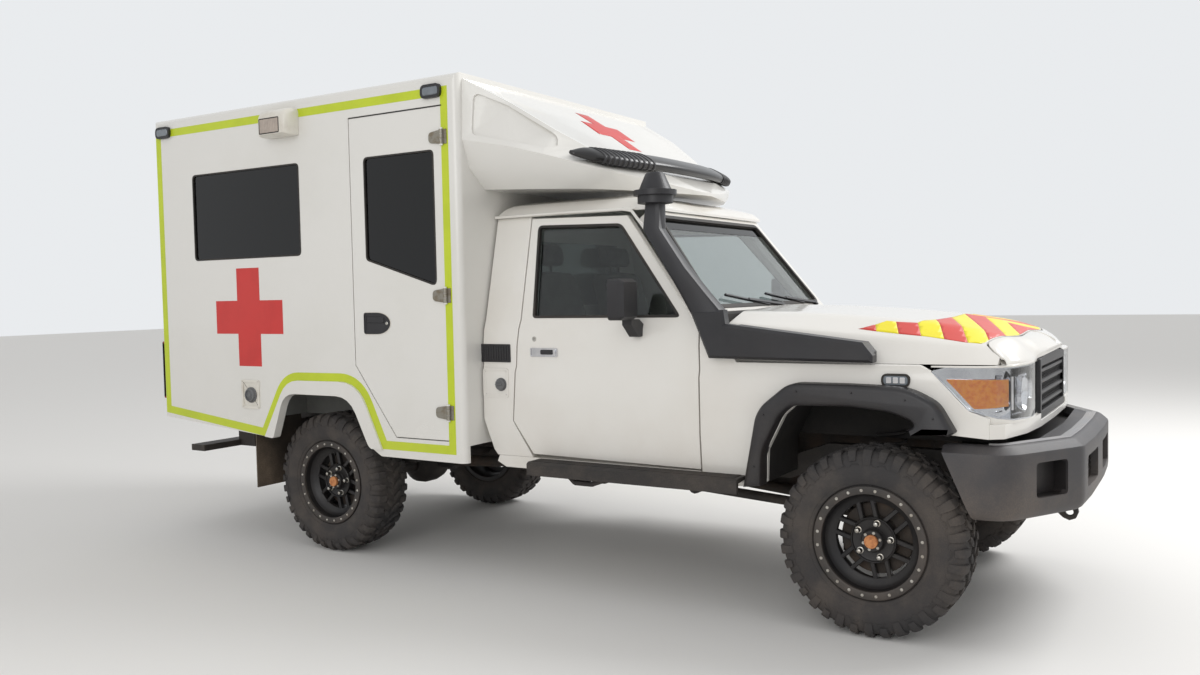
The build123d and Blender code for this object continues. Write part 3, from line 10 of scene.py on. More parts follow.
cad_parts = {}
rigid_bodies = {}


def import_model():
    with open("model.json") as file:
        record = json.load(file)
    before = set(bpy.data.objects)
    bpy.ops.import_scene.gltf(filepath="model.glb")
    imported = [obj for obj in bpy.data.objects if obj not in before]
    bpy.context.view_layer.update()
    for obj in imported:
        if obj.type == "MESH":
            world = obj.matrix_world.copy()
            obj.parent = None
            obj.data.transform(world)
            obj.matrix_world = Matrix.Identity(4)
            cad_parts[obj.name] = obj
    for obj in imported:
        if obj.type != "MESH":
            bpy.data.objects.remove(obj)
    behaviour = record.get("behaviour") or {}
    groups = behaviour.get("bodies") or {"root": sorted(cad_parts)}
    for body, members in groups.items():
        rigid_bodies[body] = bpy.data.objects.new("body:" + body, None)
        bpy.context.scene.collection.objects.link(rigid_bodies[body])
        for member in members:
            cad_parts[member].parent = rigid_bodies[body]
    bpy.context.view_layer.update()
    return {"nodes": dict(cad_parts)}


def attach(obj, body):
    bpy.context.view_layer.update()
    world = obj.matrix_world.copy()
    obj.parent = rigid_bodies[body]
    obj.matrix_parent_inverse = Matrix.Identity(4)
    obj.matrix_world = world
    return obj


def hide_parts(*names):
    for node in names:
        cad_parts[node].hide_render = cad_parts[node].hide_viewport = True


bl_info = {
    "name": "Field Ambulance Finish",
    "version": (1, 0, 0),
    "blender": (4, 5, 0),
    "location": "View3D > Sidebar > Ambulance",
    "description": "Finishes, markings and fittings of a military ambulance on a four-wheel-drive chassis",
    "category": "Object",
}

for spare in list(bpy.data.objects):
    bpy.data.objects.remove(spare)
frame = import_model()
NODES = frame["nodes"]
SIDES = {"right": -1, "left": 1}

# Places on the vehicle that several pieces share, in metres
BOX_SIDE_Y = 1.0
BOX_REAR_X = 2.553
FRONT_AXLE_X = 1.913
STICKER = 0.0008


# Forms
def turns(count):
    """Angles evenly round a full turn."""
    return [2 * pi * number / count for number in range(count)]


class Form:
    """Points and faces of one piece, gathered from simple shapes."""

    def __init__(self):
        self.points = []
        self.faces = []

    def add(self, points, faces):
        start = len(self.points)
        self.points += [tuple(point) for point in points]
        self.faces += [[start + index for index in face] for face in faces]
        return self

    def join(self, other):
        return self.add(other.points, other.faces)

    def loft(self, rings, closed=False):
        """A skin through rings of as many points each, capped at both ends or closed in a loop."""
        count = len(rings[0])
        faces = []
        for row in range(len(rings) if closed else len(rings) - 1):
            low, high = row * count, (row + 1) % len(rings) * count
            for number in range(count):
                following = (number + 1) % count
                faces.append([low + number, low + following, high + following, high + number])
        if not closed:
            faces += [list(range(count)), [(len(rings) - 1) * count + number for number in range(count)]]
        return self.add([point for ring in rings for point in ring], faces)

    def prism(self, shape, place, low, high, bevel=0.0):
        """A flat outline made solid between two depths, with its outer edge bevelled."""
        rings = [(shape, low), (shape, high)]
        if bevel:
            rings = [(shape, low), (shape, high - bevel), (offset(shape, -bevel), high)]
        return self.loft([[place(u, v, depth) for u, v in outline] for outline, depth in rings])

    def band(self, outline, outer, inner, place, low, high):
        """A frame along an outline, between two offsets from it."""
        outside, inside = offset(outline, outer), offset(outline, inner)
        rings = [[place(u, v, depth) for u, v in shape]
                 for shape, depth in ((outside, low), (outside, high), (inside, high), (inside, low))]
        return self.loft(rings, closed=True)

    def lathe(self, profile, sides, place):
        """A profile of (along, radius) rows turned about the axis that place gives."""
        return self.loft([[place(radius * cos(angle), radius * sin(angle), along) for angle in turns(sides)]
                          for along, radius in profile])

    def hoop(self, section, sides, place):
        """A closed section of (along, radius) points turned about the axis that place gives."""
        return self.loft([[place(radius * cos(angle), radius * sin(angle), along)
                           for along, radius in section] for angle in turns(sides)], closed=True)

    def tube(self, path, radius, sides=10, closed=False):
        """A round bar along a path of points."""
        path = [Vector(point) for point in path]
        radii = radius if isinstance(radius, (list, tuple)) else [radius] * len(path)
        rings, side = [], None
        for number, point in enumerate(path):
            before = path[number - 1] if number or closed else point
            after = path[(number + 1) % len(path)] if number + 1 < len(path) or closed else point
            ahead = (after - before).normalized()
            if side is None:
                side = ahead.orthogonal().normalized()
            side = (side - ahead * side.dot(ahead)).normalized()
            across = ahead.cross(side)
            rings.append([point + (side * cos(angle) + across * sin(angle)) * radii[number]
                          for angle in turns(sides)])
        return self.loft(rings, closed=closed)

    def mirrored(self):
        """The same form on the vehicle's other side."""
        return Form().add([(x, -y, z) for x, y, z in self.points], [face[::-1] for face in self.faces])


def on_right(u, v, depth):
    """A point of the right side: u forward, v up, depth outward from the middle."""
    return (u, -depth, v)


def on_front(u, v, depth):
    return (depth, u, v)


def on_rear(u, v, depth):
    return (-depth, u, v)


def on_plan(u, v, depth):
    return (u, v, depth)


def standing(place, surface):
    """A place function whose depths are counted from a surface."""
    return lambda u, v, depth: place(u, v, surface + depth)


on_box_side = standing(on_right, BOX_SIDE_Y)
on_box_rear = standing(on_rear, BOX_REAR_X)


def at(centre, axis):
    """A place function about a centre: its depth runs along the axis, which is level."""
    centre, axis = Vector(centre), Vector(axis)
    side = Vector((0, 0, 1)).cross(axis).normalized()
    rise = axis.cross(side)
    return lambda u, v, depth: centre + side * u + rise * v + axis * depth


def offset(shape, amount):
    """An outline moved outward by an amount, or inward where it is negative."""
    area = sum(a[0] * b[1] - b[0] * a[1] for a, b in zip(shape, shape[1:] + shape[:1]))
    way = 1 if area > 0 else -1
    moved = []
    for number, (x, y) in enumerate(shape):
        (x0, y0), (x1, y1) = shape[number - 1], shape[(number + 1) % len(shape)]
        first = Vector((y - y0, x0 - x)).normalized() * way
        second = Vector((y1 - y, x - x1)).normalized() * way
        miter = (first + second) / max(1 + first.dot(second), 0.2)
        moved.append((x + miter.x * amount, y + miter.y * amount))
    return moved


def rounded(corners, radii, steps=6):
    """An outline whose corners are arcs. radii is one radius, or one for each corner."""
    shape = []
    for number, corner in enumerate(corners):
        radius = radii[number] if isinstance(radii, (list, tuple)) else radii
        here = Vector(corner)
        back = Vector(corners[number - 1]) - here
        ahead = Vector(corners[(number + 1) % len(corners)]) - here
        turn = pi - back.angle(ahead)
        reach = min(radius * tan(turn / 2), back.length * 0.49, ahead.length * 0.49)
        if reach < 1e-5:
            shape.append(tuple(corner))
            continue
        start, end = here + back.normalized() * reach, here + ahead.normalized() * reach
        for step in range(steps + 1):
            t = step / steps
            bend = start * (1 - t) ** 2 + here * 2 * t * (1 - t) + end * t ** 2
            shape.append((bend.x, bend.y))
    return shape


def rectangle(u_low, u_high, v_low, v_high):
    return [(u_low, v_low), (u_high, v_low), (u_high, v_high), (u_low, v_high)]


def box_about(u, v, half_u, half_v):
    """A rectangle about its middle."""
    return rectangle(u - half_u, u + half_u, v - half_v, v + half_v)


def circle(u, v, radius, sides):
    return [(u + radius * cos(angle), v + radius * sin(angle)) for angle in turns(sides)]


def between(a, b, share):
    return a + (b - a) * share


# Pieces
def mesh_of(name, form):
    """A form's mesh, with its faces turned outward."""
    mesh = bpy.data.meshes.new(name)
    mesh.from_pydata(form.points, [], form.faces)
    tidy = bmesh.new()
    tidy.from_mesh(mesh)
    bmesh.ops.recalc_face_normals(tidy, faces=tidy.faces)
    tidy.to_mesh(mesh)
    tidy.free()
    return mesh


def placed(name, data):
    """A new object in the scene."""
    made = bpy.data.objects.new(name, data)
    bpy.context.scene.collection.objects.link(made)
    return made


def piece(name, form, body, slot, finish=None, crease=32, replaces=()):
    """A finished object from a form, riding on a body. Without a finish it has its slot's own."""
    mesh = mesh_of(name, form)
    mesh.shade_smooth()
    mesh.set_sharp_from_angle(angle=radians(crease))
    mesh.materials.append(finishes[finish or slot])
    made = placed(name, mesh)
    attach(made, body)
    if replaces:
        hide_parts(*replaces)
    return made


def both_sides(name, form, body, slot, finish=None, crease=32, replaces=()):
    """The right-hand piece and its mirror image. A body or node named with {side} changes with it."""
    for side, sign in SIDES.items():
        shape = form if sign < 0 else form.mirrored()
        nodes = [node.format(side=side) for node in replaces]
        piece(f"{name}_{side}", shape, body.format(side=side), slot, finish, crease, nodes)


def bevelled(thing, radius, angle):
    """A small radius along an object's edges that are sharper than an angle."""
    edge = thing.modifiers.new("edge radius", "BEVEL")
    edge.width = radius
    edge.segments = 2
    edge.limit_method = "ANGLE"
    edge.angle_limit = radians(angle)
    edge.harden_normals = True


def carved(form, cutters):
    """A closed form with other closed forms cut away."""
    base, *tools = [placed("carving", mesh_of("carving", part)) for part in (form, *cutters)]
    for tool in tools:
        cut = base.modifiers.new("cut", "BOOLEAN")
        cut.operation = "DIFFERENCE"
        cut.solver = "EXACT"
        cut.object = tool
    mesh = bpy.data.meshes.new_from_object(base.evaluated_get(bpy.context.evaluated_depsgraph_get()))
    for spare in (base, *tools):
        bpy.data.objects.remove(spare)
    return Form().add([vertex.co for vertex in mesh.vertices],
                      [list(face.vertices) for face in mesh.polygons])


def surface_of(*names):
    """A search tree over CAD nodes or pieces, for laying a sticker on them or standing a fitting there."""
    points, faces = [], []
    for name in names:
        mesh = (NODES[name] if name in NODES else bpy.data.objects[name]).data
        start = len(points)
        points += [vertex.co.copy() for vertex in mesh.vertices]
        faces += [[start + index for index in face.vertices] for face in mesh.polygons]
    return BVHTree.FromPolygons(points, faces)


def side_reach(surface, u, v):
    """How far out from the middle a CAD surface lies on the right side, at a place seen from that side."""
    place = surface.ray_cast(Vector((u, -3, v)), Vector((0, 1, 0)))[0]
    if place is None:
        raise RuntimeError(f"nothing at {u}, {v} on the side")
    return -place.y


def laid_down(outline, surface, height, cuts=(), share=lambda place: 0, cell=0.03):
    """A plan outline cut into small cells and laid down from a height on to a surface.
    The cells are cut along lines too, and sorted into as many forms as share gives numbers."""
    sheet = bmesh.new()
    sheet.faces.new([sheet.verts.new((x, y, height)) for x, y in outline])
    cuts = list(cuts)
    for axis in (0, 1):
        places = [point[axis] for point in outline]
        normal = Vector((1, 0, 0) if axis == 0 else (0, 1, 0))
        cuts += [(normal * (min(places) + number * cell), normal)
                 for number in range(1, int((max(places) - min(places)) / cell) + 1)]
    for place, normal in cuts:
        everything = sheet.verts[:] + sheet.edges[:] + sheet.faces[:]
        bmesh.ops.bisect_plane(sheet, geom=everything, plane_co=place, plane_no=normal)
    sheet.verts.index_update()
    points = []
    for vertex in sheet.verts:
        place, normal, _, _ = surface.ray_cast(vertex.co, Vector((0, 0, -1)))
        if place is None:
            raise RuntimeError(f"a sticker reaches past its surface at {vertex.co}")
        points.append(place + (normal if normal.z > 0 else -normal) * STICKER)
    sorted_faces = {}
    for face in sheet.faces:
        indices = [vertex.index for vertex in face.verts]
        sorted_faces.setdefault(share(face.calc_center_median()), []).append(indices)
    sheet.free()
    forms = []
    for number in sorted(sorted_faces):
        used = sorted({index for face in sorted_faces[number] for index in face})
        renumbered = {index: place for place, index in enumerate(used)}
        forms.append(Form().add([points[index] for index in used],
                                [[renumbered[index] for index in face] for face in sorted_faces[number]]))
    return forms


# Finishes
class Tree:
    """A material's or group's nodes, added and joined in one call each."""

    def __init__(self, tree):
        self.nodes = tree.nodes
        self.links = tree.links

    def feed(self, socket, value):
        """Joins an output to an input socket, or sets the socket to a value."""
        if isinstance(value, bpy.types.NodeSocket):
            self.links.new(value, socket)
        else:
            socket.default_value = value

    def feed_node(self, node, inputs):
        for name, value in inputs.items():
            self.feed(node.inputs[name], value)
        return node

    def add(self, kind, inputs=None, **settings):
        node = self.nodes.new(kind)
        for name, value in settings.items():
            setattr(node, name, value)
        return self.feed_node(node, inputs or {})

    def effect(self, name, inputs):
        """A shared effect, placed with its own values."""
        return self.add("ShaderNodeGroup", inputs, node_tree=bpy.data.node_groups[name]).outputs

    def maths(self, operation, first, second, clamp=False):
        inputs = {0: first, 1: second}
        return self.add("ShaderNodeMath", inputs, operation=operation, use_clamp=clamp).outputs[0]

    def ramp(self, value, low, high, start=0.0, end=1.0):
        """A smooth step of a value from start at low to end at high."""
        limits = {"Value": value, "From Min": low, "From Max": high, "To Min": start, "To Max": end}
        return self.add("ShaderNodeMapRange", limits, interpolation_type="SMOOTHSTEP").outputs[0]

    def noise(self, scale, detail, roughness=0.5):
        """Soft patches through the object's own coordinates."""
        place = self.add("ShaderNodeTexCoord").outputs["Object"]
        inputs = {"Vector": place, "Scale": scale, "Detail": detail, "Roughness": roughness}
        return self.add("ShaderNodeTexNoise", inputs).outputs["Fac"]

    def mix(self, share, first, second):
        node = self.add("ShaderNodeMix", data_type="RGBA")
        sockets = {socket.identifier: socket for socket in node.inputs}
        for name, value in (("Factor_Float", share), ("A_Color", first), ("B_Color", second)):
            self.feed(sockets[name], value)
        return next(socket for socket in node.outputs if socket.identifier == "Result_Color")


def new_group(name, inputs, outputs):
    """An empty shader node group with named sockets, and its two ends."""
    group = bpy.data.node_groups.new(name, "ShaderNodeTree")
    for label, kind, value in inputs:
        socket = group.interface.new_socket(label, in_out="INPUT", socket_type=kind)
        socket.default_value = value
    for label, kind in outputs:
        group.interface.new_socket(label, in_out="OUTPUT", socket_type=kind)
    tree = Tree(group)
    return tree, tree.add("NodeGroupInput"), tree.add("NodeGroupOutput")


FLOAT, COLOR = "NodeSocketFloat", "NodeSocketColor"
DUST_PATCHES, DUST_SPECKS, SPECK_SCALE = (0.32, 0.72), (0.35, 0.75), 190.0


def road_dust_group():
    """Dust that settles low on the vehicle and in soft patches, over a paint or plastic."""
    inputs = [("Color", COLOR, (0.5, 0.5, 0.5, 1)), ("Dust Color", COLOR, (0.4, 0.3, 0.22, 1)),
              ("Roughness", FLOAT, 0.4), ("Low", FLOAT, 0.4), ("High", FLOAT, 1.2),
              ("Amount", FLOAT, 0.5), ("Everywhere", FLOAT, 0.05), ("Patch Size", FLOAT, 3.0)]
    tree, start, end = new_group("Road Dust", inputs, [("Color", COLOR), ("Roughness", FLOAT)])
    given = start.outputs
    place = tree.add("ShaderNodeTexCoord").outputs["Object"]
    height = tree.add("ShaderNodeSeparateXYZ", {0: place}).outputs["Z"]
    low_down = tree.ramp(height, given["Low"], given["High"], 1.0, 0.0)
    patches = tree.ramp(tree.noise(given["Patch Size"], 6.0, 0.62), *DUST_PATCHES)
    specks = tree.ramp(tree.noise(SPECK_SCALE, 3.0), *DUST_SPECKS)
    share = tree.maths("MULTIPLY", low_down, given["Amount"])
    share = tree.maths("ADD", share, given["Everywhere"])
    share = tree.maths("MULTIPLY", share, tree.maths("ADD", patches, 0.35))
    specks = tree.maths("ADD", tree.maths("MULTIPLY", specks, 0.5), 0.65)
    share = tree.maths("MULTIPLY", share, specks, clamp=True)
    rough = tree.maths("ADD", given["Roughness"], tree.maths("MULTIPLY", share, 0.45), clamp=True)
    tree.feed_node(end, {"Color": tree.mix(share, given["Color"], given["Dust Color"]), "Roughness": rough})


def fine_grain_group():
    """The height of a moulded or cast surface: small grain over broad waves."""
    inputs = [("Grain Scale", FLOAT, 400.0), ("Grain", FLOAT, 0.6), ("Wave Scale", FLOAT, 6.0),
              ("Wave", FLOAT, 0.4)]
    tree, start, end = new_group("Fine Grain", inputs, [("Height", FLOAT)])
    given = start.outputs
    grain = tree.maths("MULTIPLY", tree.noise(given["Grain Scale"], 2.0), given["Grain"])
    wave = tree.maths("MULTIPLY", tree.noise(given["Wave Scale"], 3.0), given["Wave"])
    tree.feed_node(end, {"Height": tree.maths("ADD", grain, wave)})


def colour_drift_group():
    """A slow change of one colour to a second over the surface, as on sun-bleached or handled parts."""
    inputs = [("Color", COLOR, (0.5, 0.5, 0.5, 1)), ("Second Color", COLOR, (0.4, 0.4, 0.4, 1)),
              ("Scale", FLOAT, 4.0), ("Start", FLOAT, 0.4), ("End", FLOAT, 0.7)]
    tree, start, end = new_group("Colour Drift", inputs, [("Color", COLOR)])
    given = start.outputs
    share = tree.ramp(tree.noise(given["Scale"], 5.0, 0.6), given["Start"], given["End"])
    tree.feed_node(end, {"Color": tree.mix(share, given["Color"], given["Second Color"])})


def shade(colour):
    """A colour as seen on screen, 0 to 255, turned into the linear values that shaders take."""
    shares = [value / 255 for value in colour]
    linear = [share / 12.92 if share <= 0.04045 else ((share + 0.055) / 1.055) ** 2.4 for share in shares]
    return (*linear, 1.0)


DUST = (168, 146, 122)
EARTH = (116, 104, 94)

# Finishes: colour, second colour, drift scale, roughness, metallic, coat, dust amount, dust everywhere,
# dust top height, grain scale, grain depth, dust colour
FINISHES = {
    "cab_paint": ((229, 226, 220), (225, 221, 214), 1.5, 0.22, 0, 0.6, 0.14, 0.01, 0.9, 60, 0.0004, DUST),
    "box_paint": ((227, 225, 220), (223, 221, 215), 1.2, 0.26, 0, 0.5, 0.10, 0.01, 1.0, 25, 0.0012, DUST),
    "floor_lining": ((150, 152, 150), (138, 140, 138), 5, 0.6, 0, 0, 0.1, 0.05, 1.0, 300, 0.0008, DUST),
    "black_plastic": ((29, 29, 33), (37, 37, 41), 4, 0.4, 0, 0, 0.06, 0.015, 1.3, 700, 0.0006, DUST),
    "bumper_plastic": ((52, 52, 56), (60, 59, 62), 3, 0.5, 0, 0, 0.14, 0.05, 0.9, 620, 0.0009, DUST),
    "chassis_black": ((27, 27, 28), (40, 37, 35), 6, 0.62, 0, 0, 0.26, 0.06, 1.0, 90, 0.002, EARTH),
    "cast_metal": ((58, 56, 54), (78, 64, 54), 9, 0.62, 0.4, 0, 0.3, 0.08, 1.0, 160, 0.002, EARTH),
    "tyre": ((48, 48, 50), (66, 63, 61), 6, 0.85, 0, 0, 0.0, 0.24, 3.0, 240, 0.0012, EARTH),
    "rim_black": ((25, 25, 28), (38, 37, 37), 8, 0.4, 0.2, 0, 0.0, 0.07, 3.0, 260, 0.0005, EARTH),
    "bar_lens": ((14, 15, 19), (19, 20, 24), 4, 0.3, 0, 0.2, 0.0, 0.02, 3.0, 40, 0.0002, DUST),
    "red_lens": ((150, 14, 12), (120, 10, 10), 8, 0.14, 0, 0.4, 0.1, 0.03, 1.5, 40, 0.0002, DUST),
    "rubber": ((22, 22, 23), (30, 29, 28), 8, 0.62, 0, 0, 0.3, 0.06, 1.1, 300, 0.0005, DUST),
    "seat_fabric": ((108, 106, 102), (92, 90, 87), 14, 0.9, 0, 0, 0.0, 0.03, 3.0, 900, 0.0012, DUST),
    "interior_plastic": ((74, 73, 72), (82, 80, 78), 6, 0.55, 0, 0, 0.0, 0.05, 3.0, 600, 0.0006, DUST),
    "lime_vinyl": ((196, 212, 36), (188, 204, 32), 5, 0.38, 0, 0.1, 0.12, 0.02, 1.1, 80, 0.0001, DUST),
    "red_vinyl": ((206, 46, 42), (198, 42, 38), 5, 0.4, 0, 0.1, 0.0, 0.02, 1.1, 80, 0.0001, DUST),
    "chevron_red": ((216, 66, 56), (208, 60, 52), 5, 0.4, 0, 0.1, 0.0, 0.02, 1.1, 80, 0.0001, DUST),
    "chevron_yellow": ((244, 230, 14), (238, 222, 12), 5, 0.4, 0, 0.1, 0.0, 0.02, 1.1, 80, 0.0001, DUST),
    "bright_steel": ((196, 194, 188), (170, 164, 154), 20, 0.26, 1, 0, 0.1, 0.04, 1.2, 200, 0.0002, DUST),
    "hinge_steel": ((150, 146, 136), (128, 116, 98), 30, 0.42, 0.9, 0, 0.1, 0.06, 1.2, 120, 0.0006, DUST),
    "chrome": ((224, 224, 226), (206, 206, 210), 12, 0.08, 1, 0, 0.0, 0.02, 1.2, 90, 0.0001, DUST),
    "amber_lens": ((255, 158, 40), (240, 118, 18), 60, 0.12, 0, 0.8, 0.0, 0.0, 1.2, 60, 0.0012, DUST),
    "rusty_cap": ((206, 140, 88), (168, 102, 62), 60, 0.7, 0.1, 0, 0.0, 0.05, 3.0, 300, 0.001, EARTH),
    "rim_ring": ((48, 46, 45), (68, 62, 58), 9, 0.5, 0.1, 0, 0.0, 0.2, 3.0, 260, 0.0005, EARTH),
    "grey_plastic": ((104, 108, 112), (88, 92, 96), 12, 0.5, 0, 0, 0.2, 0.06, 1.2, 400, 0.0005, DUST),
    "grey_lens": ((112, 120, 128), (96, 104, 112), 18, 0.14, 0, 0.7, 0.0, 0.03, 3.0, 90, 0.0004, DUST),
    "dusty_lens": ((178, 164, 152), (160, 148, 138), 14, 0.22, 0, 0.5, 0.0, 0.08, 3.0, 120, 0.0004, DUST),
    "mirror_silver": ((222, 226, 228), (216, 220, 224), 3, 0.03, 1, 0, 0.0, 0.01, 3.0, 20, 0.0, DUST),
    # The underseal is dark partly as painted shade, for the shaded wheel arches and bulkhead.
    "underseal": ((26, 26, 27), (34, 33, 32), 8, 0.8, 0, 0, 0.1, 0.02, 3.0, 160, 0.002, EARTH),
    # The bumper top's light grey is painted highlight, for sunlight falling on the black bumper.
    "bumper_top": ((150, 151, 154), (164, 163, 162), 4, 0.6, 0, 0, 0.1, 0.1, 1.2, 620, 0.0008, DUST),
    "lamp_white": ((226, 222, 212), (210, 204, 192), 9, 0.3, 0, 0.3, 0.0, 0.04, 3.0, 140, 0.0004, DUST),
}
# The door glass is darker than the windscreen as painted shade, for the shaded cab seen through it.
GLASSES = {"glass": ((232, 238, 236), 0.0), "door_glass": ((160, 168, 167), 0.0),
           "tinted_glass": ((13, 15, 19), 0.0), "clear_lens": ((244, 246, 248), 0.02)}  # colour, roughness
GLASS_DUST, GLASS_IOR = 0.01, 1.45
GRAIN_STRENGTH, COAT_ROUGHNESS = 0.6, 0.06
FINISH_OF_SLOT = {"body_paint": "cab_paint"}
# The bulkhead's dark underseal is partly painted shade, in the wheel arches and the cab.
FINISH_OF_NODE = {"bulkhead": "underseal", "door_glass": "door_glass"}
finishes = {}


def new_material(name):
    """A material with its tree and its shader."""
    material = bpy.data.materials.new(name)
    material.use_nodes = True
    tree = Tree(material.node_tree)
    return material, tree, tree.nodes["Principled BSDF"]


def surface_finish(name, row):
    """One paint, plastic, metal or rubber: its colour drifts, dust settles on it and it has a grain."""
    (color, second, drift, rough, metal, coat, dust, everywhere, dust_top, grain_scale, grain_depth,
     dust_color) = row
    material, tree, skin = new_material(name)
    colour = tree.effect("Colour Drift", {"Color": shade(color), "Second Color": shade(second),
                                          "Scale": drift})
    dusty = tree.effect("Road Dust", {"Color": colour["Color"], "Dust Color": shade(dust_color),
                                      "Roughness": rough, "Amount": dust, "Everywhere": everywhere,
                                      "High": dust_top})
    grain = tree.effect("Fine Grain", {"Grain Scale": grain_scale})
    bump = tree.add("ShaderNodeBump", {"Height": grain["Height"], "Distance": grain_depth,
                                       "Strength": GRAIN_STRENGTH})
    tree.feed_node(skin, {"Base Color": dusty["Color"], "Roughness": dusty["Roughness"], "Metallic": metal,
                          "Normal": bump.outputs["Normal"], "Coat Weight": coat,
                          "Coat Roughness": COAT_ROUGHNESS})
    return material


def glass_finish(name, color, roughness):
    """Clear or tinted glass with a faint film of dust in its roughness."""
    material, tree, skin = new_material(name)
    dusty = tree.effect("Road Dust", {"Roughness": roughness, "Amount": 0.0, "Everywhere": GLASS_DUST,
                                      "High": 3.0})
    tree.feed_node(skin, {"Base Color": shade(color), "Roughness": dusty["Roughness"], "IOR": GLASS_IOR,
                          "Transmission Weight": 1.0})
    return material


def make_finishes():
    road_dust_group()
    fine_grain_group()
    colour_drift_group()
    for name, row in FINISHES.items():
        finishes[name] = surface_finish(name, row)
    for name, row in GLASSES.items():
        finishes[name] = glass_finish(name, *row)


def finish_named(slot, node):
    """The finish of a node's slot, or the one that the node alone has."""
    own = next((finish for start, finish in FINISH_OF_NODE.items() if node.startswith(start)), None)
    return finishes[own or FINISH_OF_SLOT.get(slot, slot)]


# Edges of the sheet metal and mouldings that stay as packed: node name start, edge radius in metres
EDGE_RADII = (
    ("box_side", 0.002), ("side_door", 0.002), ("rear_door", 0.002), ("door", 0.003), ("cab_rear", 0.003),
    ("screen_frame", 0.004), ("front_wings", 0.003), ("cab_roof", 0.006), ("mirror", 0.011),
    ("snorkel", 0.012), ("steps", 0.003), ("ladder_frame", 0.003), ("front_axle", 0.003),
    ("rear_axle", 0.003), ("suspension", 0.002), ("fuel_tank", 0.012), ("dashboard", 0.006),
    ("powertrain", 0.006), ("tow_eyes", 0.002), ("box_fairing", 0.004), ("grille", 0.002),
    ("rear_lamps", 0.003),
)
SHARP_EDGE = 34  # degrees between two faces
JOIN_DISTANCE = 0.00005


def rounding_nodes():
    """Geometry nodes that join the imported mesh's loose facets and smooth all but its sharp edges."""
    group = bpy.data.node_groups.new("Soft Edges", "GeometryNodeTree")
    group.interface.new_socket("Geometry", in_out="INPUT", socket_type="NodeSocketGeometry")
    group.interface.new_socket("Geometry", in_out="OUTPUT", socket_type="NodeSocketGeometry")
    tree = Tree(group)
    start, end = tree.add("NodeGroupInput"), tree.add("NodeGroupOutput")
    clean = tree.add("GeometryNodeRemoveAttribute", {"Geometry": start.outputs[0], "Name": "custom_normal"})
    joined = tree.add("GeometryNodeMergeByDistance", {"Geometry": clean.outputs[0],
                                                      "Distance": JOIN_DISTANCE})
    smooth = tree.add("GeometryNodeSetShadeSmooth", {"Geometry": joined.outputs[0], "Shade Smooth": True})
    angle = tree.add("GeometryNodeInputMeshEdgeAngle").outputs["Unsigned Angle"]
    steep = tree.add("FunctionNodeCompare", {0: angle, 1: radians(SHARP_EDGE)}, operation="GREATER_THAN",
                     data_type="FLOAT")
    edges = {"Geometry": smooth.outputs[0], "Selection": steep.outputs[0], "Shade Smooth": False}
    sharp = tree.add("GeometryNodeSetShadeSmooth", edges, domain="EDGE")
    tree.links.new(sharp.outputs[0], end.inputs[0])
    return group


def dress_nodes():
    """Every CAD node gets its finish and, where its edges show, a small edge radius."""
    soft = rounding_nodes()
    for name, node in NODES.items():
        for slot in node.material_slots:
            slot.material = finish_named(slot.material.name.split(".")[0], name)
        joined = node.modifiers.new("joined facets", "NODES")
        joined.node_group = soft
        radius = next((value for start, value in EDGE_RADII if name.startswith(start)), None)
        if radius and "glass" not in name:
            bevelled(node, radius, SHARP_EDGE)


# Markings
STRIPE_WIDTH = 0.046
STRIPE_EDGE = [(-2.53, 2.535), (-0.183, 2.535), (-0.184, 0.655), (-0.692, 0.655), (-0.862, 1.012),
               (-1.422, 1.007), (-1.616, 0.673), (-2.526, 0.776)]
STRIPE_ROUNDING = [0.0, 0.0, 0.0, 0.0, 0.22, 0.17, 0.0, 0.0]
CROSS_MIDDLE = (-1.7275, 1.3705)
CROSS_HALF = 0.289
CROSS_ARM_HALF = 0.098
FAIRING_CROSS_MIDDLE = (0.165, 0.0)
FAIRING_CROSS_HALF = (0.178, 0.2)
FAIRING_CROSS_ARM_HALF = (0.06, 0.068)
ABOVE_BODY = 2.9
BONNET_MARK = [  # the chevron field's right half in plan: its rear and outer edges, from the middle out
    (2.12, 0.0), (2.112, -0.21), (2.085, -0.396), (2.037, -0.54), (1.955, -0.554), (1.907, -0.556),
    (1.872, -0.597), (1.81, -0.655), (1.9, -0.657), (2.0, -0.653), (2.1, -0.644), (2.258, -0.643),
    (2.318, -0.628),
]
CHEVRON_FIRST = 1.637
CHEVRON_PITCH = 0.096
CHEVRON_SLOPE = 0.385
CHEVRON_COUNT = 9
CHEVRON_GAP = 0.005  # from the field's front edge to the bonnet's
CHEVRON_CELL = 0.02
FRONT_EDGE_STEP = 0.05


def cross_outline(u, v, half, arm):
    """A cross about a middle, from its half lengths and its arms' half widths along u and v."""
    (long_u, long_v), (arm_u, arm_v) = half, arm
    quarter = [(long_u, -arm_v), (long_u, arm_v), (arm_u, arm_v), (arm_u, long_v), (-arm_u, long_v),
               (-arm_u, arm_v)]
    return [(u + x, v + y) for x, y in quarter] + [(u - x, v - y) for x, y in quarter]


def side_markings():
    stripe = Form().band(rounded(STRIPE_EDGE, STRIPE_ROUNDING, 10), 0, -STRIPE_WIDTH, on_box_side, 0, STICKER)
    both_sides("side_stripe", stripe, "chassis", "box_paint", "lime_vinyl")
    shape = cross_outline(*CROSS_MIDDLE, (CROSS_HALF, CROSS_HALF), (CROSS_ARM_HALF, CROSS_ARM_HALF))
    cross = Form().prism(shape, on_box_side, 0, STICKER)
    both_sides("side_cross", cross, "chassis", "box_paint", "red_vinyl")


